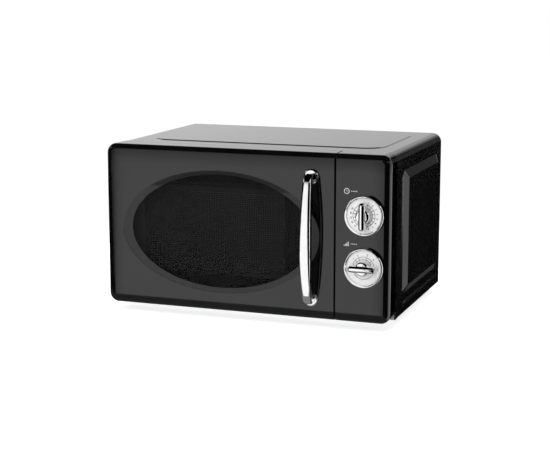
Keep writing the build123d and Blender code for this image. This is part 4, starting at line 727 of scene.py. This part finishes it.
# Printing: flat shapes on a face that looks to the front, then given the thickness of the ink
def line_ring(middle, radius, width=LINE_W, keep=lambda turn: True):
    """A printed circle, or the part of it whose turn from the top is kept."""
    inner = radius - width / 2
    bpy.ops.mesh.primitive_circle_add(
        vertices=LINE_STEPS, radius=inner, location=middle, rotation=(QUARTER, 0, 0)
    )
    ring = named("line_ring")
    edit(ring)
    bpy.ops.mesh.extrude_edges_move()
    grow = (radius + width / 2) / inner
    bpy.ops.transform.resize(value=(grow, 1, grow), center_override=middle)

    def is_cut(face):
        beside = face.calc_center_median() - middle
        return not keep(math.degrees(math.atan2(beside.x, beside.z)))

    pick(ring, "FACE", is_cut)
    bpy.ops.mesh.delete(type="FACE")
    close()
    return ring


def bar(middle, width, height):
    """A printed upright bar with small cut corners."""
    bpy.ops.mesh.primitive_plane_add(size=1, location=middle, rotation=(QUARTER, 0, 0))
    stroke = named("bar", (width, height, 1))
    edit(stroke)
    bpy.ops.mesh.bevel(offset=min(width, height) * BAR_CORNER, segments=2, affect="VERTICES")
    close()
    return stroke


def dot(middle, radius):
    """A printed dot."""
    bpy.ops.mesh.primitive_circle_add(vertices=20, radius=radius, location=middle, rotation=(QUARTER, 0, 0))
    spot = named("dot")
    edit(spot)
    bpy.ops.mesh.edge_face_add()
    bpy.ops.mesh.inset(thickness=radius * DOT_INSET)
    close()
    return spot


def ticks(middle, turns, near, far):
    """Short lines that point away from a middle, one at each turn from the top."""
    strokes = []
    for turn in turns:
        stroke = bar(middle + Vector((0, 0, (near + far) / 2)), TICK_W, far - near)
        edit(stroke)
        bpy.ops.transform.rotate(value=-math.radians(turn), orient_axis="Y", center_override=middle)
        close()
        strokes.append(stroke)
    return strokes


def numeral(number, middle, turn, size):
    """A printed number that stands on its turn round a dial."""
    lean = math.radians(turn)
    spot = middle + NUMERAL_R * Vector((math.sin(lean), 0, math.cos(lean)))
    bpy.ops.object.text_add(location=spot, rotation=(QUARTER, lean, 0))
    label = bpy.context.object
    label.data.body = number
    label.data.size = size
    label.data.align_x = "CENTER"
    label.data.align_y = "CENTER"
    label.data.resolution_u = 6
    label.data.offset = NUMERAL_BOLD
    bpy.ops.object.convert(target="MESH")
    return named("numeral")


def dot_row(middle):
    """A row of printed dots at the right of a sign."""
    steps = [DOT_FIRST + DOT_STEP * place for place in range(ROW_COUNT)]
    return [dot(middle + Vector((step, 0, 0)), DOT_R) for step in steps]


def inked(name, shapes, coat, slot):
    """Joins printed shapes, turns them to the front and gives them the thickness of the ink."""
    ink = joined(name, shapes)
    edit(ink)
    bpy.ops.mesh.remove_doubles(threshold=SAME_POINT)
    pick(ink, "FACE", lambda face: face.normal.y > 0)
    bpy.ops.mesh.flip_normals()
    close()
    modified(ink, "SOLIDIFY", thickness=PRINT_T, offset=-1)
    fitted(ink, coat, "cabinet", slot)


timer_middle = Vector((DIAL_X, DIAL_FACE_Y - PRINT_T, TIMER_Z))
timer_turns = [TIMER_STEP * place for place in range(len(TIMER_LABELS))]
timer_shapes = [line_ring(timer_middle, OUTER_LINE_R), line_ring(timer_middle, INNER_LINE_R)]
timer_shapes += ticks(timer_middle, timer_turns, INNER_LINE_R - TICK_OVER, OUTER_LINE_R + TICK_OVER)
for label, turn in zip(TIMER_LABELS, timer_turns):
    timer_shapes.append(numeral(label, timer_middle, turn, TIMER_NUMERAL))
inked("timer_print", timer_shapes, print_black, "black_plastic")


def on_power_scale(turn):
    """True along the upper lines of the lower dial."""
    return POWER_SCALE[0] <= turn <= POWER_SCALE[1]


def on_lower_line(turn):
    """True along the lower line of the lower dial."""
    return not LOWER_LINE_GAP[0] < turn < LOWER_LINE_GAP[1]


power_middle = Vector((DIAL_X, DIAL_FACE_Y - PRINT_T, POWER_Z))
power_shapes = []
for radius in (OUTER_LINE_R, INNER_LINE_R):
    power_shapes.append(line_ring(power_middle, radius, keep=on_power_scale))
power_shapes.append(line_ring(power_middle, LOWER_LINE_R, keep=on_lower_line))
power_shapes += ticks(power_middle, POWER_SETTINGS, INNER_LINE_R, OUTER_LINE_R)
for place, turn in enumerate(POWER_SETTINGS):
    power_shapes.append(numeral(str(place + 1), power_middle, turn, POWER_NUMERAL))
inked("power_print", power_shapes, print_black, "black_plastic")

clock_middle = Vector((SIGN_X, FACE_Y - PRINT_T, CLOCK_Z))
clock_shapes = [line_ring(clock_middle, CLOCK_R, CLOCK_LINE)]
clock_shapes.append(bar(clock_middle + Vector((0, 0, LONG_HAND_MIDDLE)), HAND_W, LONG_HAND))
clock_shapes.append(bar(clock_middle + Vector((SHORT_HAND_MIDDLE, 0, 0)), SHORT_HAND, HAND_W))
clock_shapes += dot_row(clock_middle)
inked("clock_sign", clock_shapes, print_pale, "dial_face")

level_middle = Vector((SIGN_X, FACE_Y - PRINT_T, BARS_Z))
level_shapes = []
for place in range(ROW_COUNT):
    height = BAR_FIRST + BAR_RISE * place
    spot = Vector((BAR_STEP * place - BARS_LEFT, 0, height / 2 - BARS_FOOT))
    level_shapes.append(bar(level_middle + spot, BAR_W, height))
level_shapes += dot_row(level_middle)
inked("level_sign", level_shapes, print_pale, "dial_face")


# Knobs
def dial_knob(name, body, node, lying):
    """A round hub with a grip across it, cut to a slope all round its front."""
    low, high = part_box(node)
    middle = (low + high) / 2
    bpy.ops.mesh.primitive_cylinder_add(
        vertices=72, radius=KNOB_HUB_R, depth=KNOB_HUB_H, rotation=(QUARTER, 0, 0),
        location=(middle.x, high.y - KNOB_HUB_H / 2, middle.z),
    )
    knob = named(name)
    edit(knob)
    pick(knob, "EDGE", lambda edge: all(vert.co.y < middle.y for vert in edge.verts))
    bpy.ops.mesh.bevel(offset=KNOB_HUB_EDGE, segments=6, affect="EDGES")
    close()
    front = low.y + GRIP_SLOPE
    bpy.ops.mesh.primitive_cube_add(size=1, location=(middle.x, (front + high.y) / 2, middle.z))
    grip = named("grip", (GRIP_W, high.y - front, GRIP_L))
    edit(grip)
    pick(grip, "EDGE", lambda edge: abs(edge.verts[0].co.y - edge.verts[1].co.y) > GRIP_SLOPE)
    bpy.ops.mesh.bevel(offset=GRIP_END_R, segments=7, affect="EDGES")
    pick(grip, "FACE", looks_to_front)
    draft = (1 - GRIP_DRAFT / GRIP_W, 1, 1 - GRIP_DRAFT / GRIP_L)
    bpy.ops.transform.resize(value=draft, center_override=middle)
    bpy.ops.mesh.inset(thickness=GRIP_SLOPE, depth=GRIP_SLOPE)

    def is_slope_rim(edge):
        for y in (low.y, front):
            if all(abs(vert.co.y - y) < SAME_LEVEL for vert in edge.verts):
                return True
        return False

    pick(grip, "EDGE", is_slope_rim)
    bpy.ops.mesh.bevel(offset=GRIP_EDGE, segments=2, affect="EDGES")
    if lying:
        bpy.ops.mesh.select_all(action="SELECT")
        bpy.ops.transform.rotate(value=QUARTER, orient_axis="Y", center_override=middle)
    close()
    modified(knob, "BOOLEAN", operation="UNION", object=grip, solver="EXACT")
    bpy.data.objects.remove(grip)
    smooth(knob, angle=30)
    fitted(knob, bright_chrome, body, "chrome", node)


dial_knob("timer_grip", "timer_knob", "timer_knob", lying=False)
dial_knob("power_grip", "power_knob", "power_knob", lying=True)


# Closing spring of the door hook
def closing_spring():
    """A wire wound up from its lower end, shown at rest."""
    low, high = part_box("latch_spring")
    middle = (low + high) / 2
    wind_r = (high.x - low.x) / 2 - SPRING_WIRE_R
    rise = high.z - low.z - 2 * SPRING_WIRE_R
    bpy.ops.mesh.primitive_circle_add(
        vertices=12, radius=SPRING_WIRE_R, location=(wind_r, 0, 0), rotation=(QUARTER, 0, 0)
    )
    spring = named("closing_spring")
    modified(
        spring, "SCREW", screw_offset=rise / SPRING_TURNS, iterations=SPRING_TURNS,
        steps=SPRING_STEPS, render_steps=SPRING_STEPS,
    )
    edit(spring)
    bpy.ops.mesh.fill_holes(sides=0)
    faced_outwards()
    bpy.ops.transform.translate(value=(middle.x, middle.y, low.z + SPRING_WIRE_R))
    close()
    smooth(spring, angle=50)
    fitted(spring, spring_steel, "door", "zinc_steel", "latch_spring")
    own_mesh(spring)


closing_spring()


# Case screws
def case_screws():
    """Round heads with a cross recess, each on a short shank."""
    x, z = SCREW_SPOTS[0]
    head = Vector((x, SCREW_FACE_Y - SCREW_HEAD_T / 2, z))
    bpy.ops.mesh.primitive_cylinder_add(
        vertices=40, radius=SCREW_HEAD_R, depth=SCREW_HEAD_T, location=head, rotation=(QUARTER, 0, 0)
    )
    screw = named("case_screw")
    edit(screw)
    pick(screw, "EDGE", lambda edge: all(vert.co.y > head.y for vert in edge.verts))
    bpy.ops.mesh.bevel(offset=SCREW_HEAD_EDGE, segments=5, affect="EDGES")
    pick(screw, "FACE", looks_to_front)
    bpy.ops.mesh.inset(thickness=SCREW_HEAD_R - SCREW_SHANK_R)
    bpy.ops.mesh.extrude_region_move(TRANSFORM_OT_translate={"value": (0, -SCREW_SHANK_L, 0)})
    close()
    for across, up in ((RECESS_L, RECESS_W), (RECESS_W, RECESS_L)):
        bpy.ops.mesh.primitive_cube_add(size=1, location=(x, SCREW_FACE_Y, z))
        recess = named("recess", (across, RECESS_CUT, up))
        edit(recess)
        pick(recess, "FACE", looks_to_front)
        taper = (RECESS_TAPER, 1, RECESS_TAPER)
        bpy.ops.transform.resize(value=taper, center_override=(x, SCREW_FACE_Y, z))
        close()
        modified(screw, "BOOLEAN", operation="DIFFERENCE", object=recess, solver="EXACT")
        bpy.data.objects.remove(recess)
    smooth(screw, angle=40)
    moves = [(spot_x - x, 0, spot_z - z) for spot_x, spot_z in SCREW_SPOTS[1:]]
    return repeated("case_screws", screw, moves)


fitted(case_screws(), spring_steel, "cabinet", "zinc_steel", "cover_screws")


# Feet
def rubber_feet():
    """Grooved rubber cones with a screw well, each turned from one profile."""
    x, y = FOOT_SPOTS[0]
    bpy.ops.mesh.primitive_plane_add(size=1, location=(x, y, 0))
    foot = named("rubber_foot")
    edit(foot)
    bpy.ops.mesh.delete(type="VERT")
    shape = bmesh.from_edit_mesh(foot.data)
    outline = [shape.verts.new((x + across * MM, y, rise * MM)) for across, rise in FOOT_PROFILE]
    for start, end in zip(outline, outline[1:]):
        shape.edges.new((start, end))
    bmesh.update_edit_mesh(foot.data)
    bpy.ops.mesh.select_all(action="SELECT")
    bpy.ops.mesh.spin(steps=FOOT_STEPS, angle=4 * QUARTER, center=(x, y, 0), axis=(0, 0, 1))
    close()
    edit(foot)
    bpy.ops.mesh.remove_doubles(threshold=SAME_POINT)
    bpy.ops.mesh.normals_make_consistent(inside=False)
    close()
    smooth(foot, angle=40)
    moves = [(spot_x - x, spot_y - y, 0) for spot_x, spot_y in FOOT_SPOTS[1:]]
    return repeated("rubber_feet", foot, moves)


fitted(rubber_feet(), foot_rubber, "cabinet", "foot_rubber", "feet")


# Studio, in metres: pale floor, white surroundings, soft lamps, and cards that only gloss and chrome show
FLOOR_SIZE = 14
FLOOR_TONE = 0.8
FLOOR_GLOW = 0.7
FLOOR_WHITE = 1.02
SHADOW_REACH = 0.42
AMBIENT = 0.45
LAMP_AIM = Vector((0, 0, 0.12))
CAMERA_PLACE = (0.71570, -1.97665, 0.50372)
CAMERA_BACK = (0.33538, -0.92500, 0.17860)
CAMERA_SENSOR = 36.0
CAMERA_LENS = 90.44


def shader_mix(tree, factor, first, second):
    """One shader where a factor is 0, and another where it is 1."""
    mixed = tree.nodes.new("ShaderNodeMixShader")
    tree.links.new(factor, mixed.inputs["Fac"])
    tree.links.new(first, mixed.inputs[1])
    tree.links.new(second, mixed.inputs[2])
    return mixed.outputs["Shader"]


def white_seen(tree, lighting, shown):
    """One shader for what lights the object, and another for what the camera, gloss and glass see."""
    path = tree.nodes.new("ShaderNodeLightPath")
    seen = path.outputs["Is Camera Ray"]
    for output in ("Is Glossy Ray", "Is Transmission Ray"):
        seen = combined(tree, "MAXIMUM", seen, path.outputs[output])
    return shader_mix(tree, seen, lighting, shown)


def bare_coat(name):
    """A new finish with nothing in its node tree but the output."""
    coat, tree, shader = finish(name)
    tree.nodes.remove(shader)
    return coat, tree, tree.nodes["Material Output"].inputs["Surface"]


def plain_glow(tree, strength):
    """White light of one strength."""
    glow = tree.nodes.new("ShaderNodeEmission")
    glow.inputs["Strength"].default_value = strength
    return glow


def studio_floor():
    """Pale floor that takes the object's shadow close by, and is plain white farther off and in gloss."""
    bpy.ops.mesh.primitive_plane_add(size=FLOOR_SIZE, location=(0, 0, 0))
    floor = named("studio_floor")
    coat, tree, surface = bare_coat("pale_floor")
    matt = tree.nodes.new("ShaderNodeBsdfDiffuse")
    matt.inputs["Color"].default_value = solid_grey(FLOOR_TONE)
    lit = tree.nodes.new("ShaderNodeAddShader")
    tree.links.new(matt.outputs["BSDF"], lit.inputs[0])
    tree.links.new(plain_glow(tree, FLOOR_GLOW).outputs["Emission"], lit.inputs[1])
    far = tree.nodes.new("ShaderNodeMapRange")
    far.interpolation_type = "SMOOTHSTEP"
    far.inputs["From Min"].default_value = SHADOW_REACH
    far.inputs["From Max"].default_value = SHADOW_REACH * 2
    tree.links.new(distance(tree, own_place(tree)), far.inputs["Value"])
    white = plain_glow(tree, FLOOR_WHITE).outputs["Emission"]
    looked_at = shader_mix(tree, far.outputs["Result"], lit.outputs["Shader"], white)
    direct = tree.nodes.new("ShaderNodeLightPath").outputs["Is Camera Ray"]
    shown = shader_mix(tree, direct, white, looked_at)
    tree.links.new(white_seen(tree, matt.outputs["BSDF"], shown), surface)
    floor.data.materials.append(coat)


def studio_world():
    """White surroundings that light the object less than they show."""
    world = bpy.data.worlds.new("studio_world")
    bpy.context.scene.world = world
    world.use_nodes = True
    tree = world.node_tree
    ambient = tree.nodes["Background"]
    ambient.inputs["Color"].default_value = solid_grey(1)
    ambient.inputs["Strength"].default_value = AMBIENT
    white = tree.nodes.new("ShaderNodeBackground")
    white.inputs["Color"].default_value = solid_grey(1)
    white.inputs["Strength"].default_value = 1.0
    shown = white_seen(tree, ambient.outputs["Background"], white.outputs["Background"])
    tree.links.new(shown, tree.nodes["World Output"].inputs["Surface"])


def soft_lamp(name, place, size, power):
    """A soft square lamp that gloss and chrome don't show."""
    bpy.ops.object.light_add(type="AREA", location=place)
    lamp = bpy.context.object
    lamp.name = name
    lamp.data.size = size
    lamp.data.energy = power
    lamp.rotation_euler = (Vector(place) - LAMP_AIM).to_track_quat("Z", "Y").to_euler()
    lamp.visible_glossy = False


studio_floor()
studio_world()
soft_lamp("front_lamp", (-0.6, -2.3, 1.8), size=2.6, power=52)
soft_lamp("top_lamp", (0.3, 0.2, 2.4), size=2.0, power=30)


# Cards: what the black front, the case and the chrome reflect besides white
def gloss_card(name, corners, level, fade=None):
    """A card with four corners, seen only in gloss and chrome, of one level or fading from it to black."""
    bpy.ops.mesh.primitive_plane_add(size=1)
    card = named(name)
    edit(card)
    shape = bmesh.from_edit_mesh(card.data)
    shape.faces.ensure_lookup_table()
    for vert, corner in zip(shape.faces[0].verts, corners):
        vert.co = corner
    bmesh.update_edit_mesh(card.data)
    close()
    coat, tree, surface = bare_coat(name)
    glow = plain_glow(tree, level)
    if fade:
        axis, full, black = fade
        faded = ranged(tree, own_axes(tree)[axis], (black, full), 0, level)
        tree.links.new(faded, glow.inputs["Strength"])
    tree.links.new(glow.outputs["Emission"], surface)
    card.data.materials.append(coat)
    card.visible_camera = False
    card.visible_diffuse = False
    card.visible_transmission = False
    card.visible_shadow = False


def flat_card(name, z, corners, level):
    """A card that lies flat at a height."""
    gloss_card(name, [(x, y, z) for x, y in corners], level)


def mirrored(x, reach):
    """The floor place that the camera sees mirrored in the front at x, at reach times its own distance."""
    return (x + (x - CAMERA_PLACE[0]) * reach, FACE_Y + (CAMERA_PLACE[1] - FACE_Y) * reach)


# Heights of the cards, and the places on the floor where they meet
FLOOR_CARD_Z = 0.004
EDGE_CARD_Z = 0.005
CEILING_Z = 1.7
WALL_H = 0.9
MIRROR_REACH = 1.2
LEFT_EDGE_X = -207.9 * MM
LEFT_NEAR = mirrored(LEFT_EDGE_X, 0)
LEFT_FAR = mirrored(LEFT_EDGE_X, MIRROR_REACH)
LEFT_END = (-2.4, 0.3)
RIGHT_EDGE_X = 207.3 * MM
RIGHT_NEAR = mirrored(RIGHT_EDGE_X, 0)
RIGHT_FAR = mirrored(RIGHT_EDGE_X, MIRROR_REACH)
CORNER_NEAR = (0.214, -0.14)
CORNER_FAR = (-0.24, -2.344)
RIGHT_START = (-0.09, -1.71)
RIGHT_TURN = (1.5, -1.7)
RIGHT_END = (1.85, -0.36)

# Grey strips of floor that the front shows along its sides: start and end on the front in mm, and level
EDGE_STRIPS = {
    "left_strip": (
        (-207.9, -205.6, 0.68), (-205.6, -202.8, 0.8), (-202.8, -198.7, 0.9), (-198.7, -193.7, 0.96),
    ),
    "right_strip": (
        (194.3, 197.2, 0.97), (197.2, 200.8, 0.93), (200.8, 204.4, 0.87), (204.4, 207.3, 0.77),
    ),
}
for side, strips in EDGE_STRIPS.items():
    for count, (start, end, level) in enumerate(strips):
        near = (mirrored(start * MM, 0), mirrored(end * MM, 0))
        far = (mirrored(end * MM, MIRROR_REACH), mirrored(start * MM, MIRROR_REACH))
        flat_card(f"{side}_{count}", FLOOR_CARD_Z, (*near, *far), level)

# Cards that lie flat: height, corners and level. The edge card lies over the strips.
FLAT_CARDS = (
    ("last_strip", FLOOR_CARD_Z, (CORNER_NEAR, CORNER_FAR, RIGHT_FAR, RIGHT_NEAR), 0.66),
    ("ceiling_card", CEILING_Z, ((-2.5, -1.6), (2.5, -1.6), (2.5, 2.0), (-2.5, 2.0)), 0.0),
    ("edge_card", EDGE_CARD_Z, ((-0.33, -0.225), (0.23, -0.225), (0.23, -0.09), (-0.33, -0.09)), 0.2),
    ("left_card", FLOOR_CARD_Z, (LEFT_NEAR, LEFT_FAR, LEFT_END, (-0.45, 1.3)), 0.0),
    ("right_card", FLOOR_CARD_Z, (CORNER_NEAR, RIGHT_START, RIGHT_TURN, RIGHT_END), 0.0),
    ("side_card", FLOOR_CARD_Z, ((0.245, -0.1), (0.97, 1.28), (0.6, 1.8), (0.245, 1.8)), 0.0),
    ("near_card", FLOOR_CARD_Z, ((0.2, -0.08), (0.23, -0.08), (0.23, 0.8), (0.2, 0.8)), 0.07),
    ("margin_card", FLOOR_CARD_Z, ((0.23, -0.1), (0.245, -0.1), (0.245, 0.8), (0.23, 0.8)), 0.0),
    ("glow_card", FLOOR_CARD_Z, ((0.24, -0.13), (1.9, -0.2), (1.6, 0.9), (0.8, 0.8)), 1.35),
)
for name, z, corners, level in FLAT_CARDS:
    flat_card(name, z, corners, level)

# Black cards that stand on the floor between two places
WALL_CARDS = (
    ("left_wall_card", LEFT_FAR, LEFT_END),
    ("right_wall_card", RIGHT_START, RIGHT_TURN),
    ("right_end_card", RIGHT_TURN, RIGHT_END),
)
for name, start, end in WALL_CARDS:
    gloss_card(name, [(*start, 0), (*end, 0), (*end, WALL_H), (*start, WALL_H)], 0.0)

# Cards that stand across the depth: y, reach in x, reach in z, level, and the axis and ends of a fade
CROSS_CARDS = (
    ("front_card", -3.3, (-3.5, 3.5), (0.9, 3.6), 1.0, ("Z", 0.9, 2.1)),
    ("slope_card", 1.69, (0.45, 1.0), (0.2, 0.6), 0.08, None),
    ("back_card", 2.2, (-1.7, 0.2), (0.0, 1.4), 1.0, ("X", -1.42, 3.84)),
    ("rear_card", 1.7, (0.05, 1.2), (0.0, 0.8), 1.0, ("X", 0.05, 0.55)),
)
for name, y, (left, right), (low, high), level, fade in CROSS_CARDS:
    gloss_card(name, [(left, y, low), (right, y, low), (right, y, high), (left, y, high)], level, fade)

# Camera at the photograph's place
bpy.ops.object.camera_add(location=CAMERA_PLACE)
camera = bpy.context.object
camera.name = "photo_camera"
camera.data.sensor_width = CAMERA_SENSOR
camera.data.lens = CAMERA_LENS
camera.rotation_euler = Vector(CAMERA_BACK).to_track_quat("Z", "Y").to_euler()
bpy.context.scene.camera = camera
bpy.context.scene.view_settings.view_transform = "Standard"
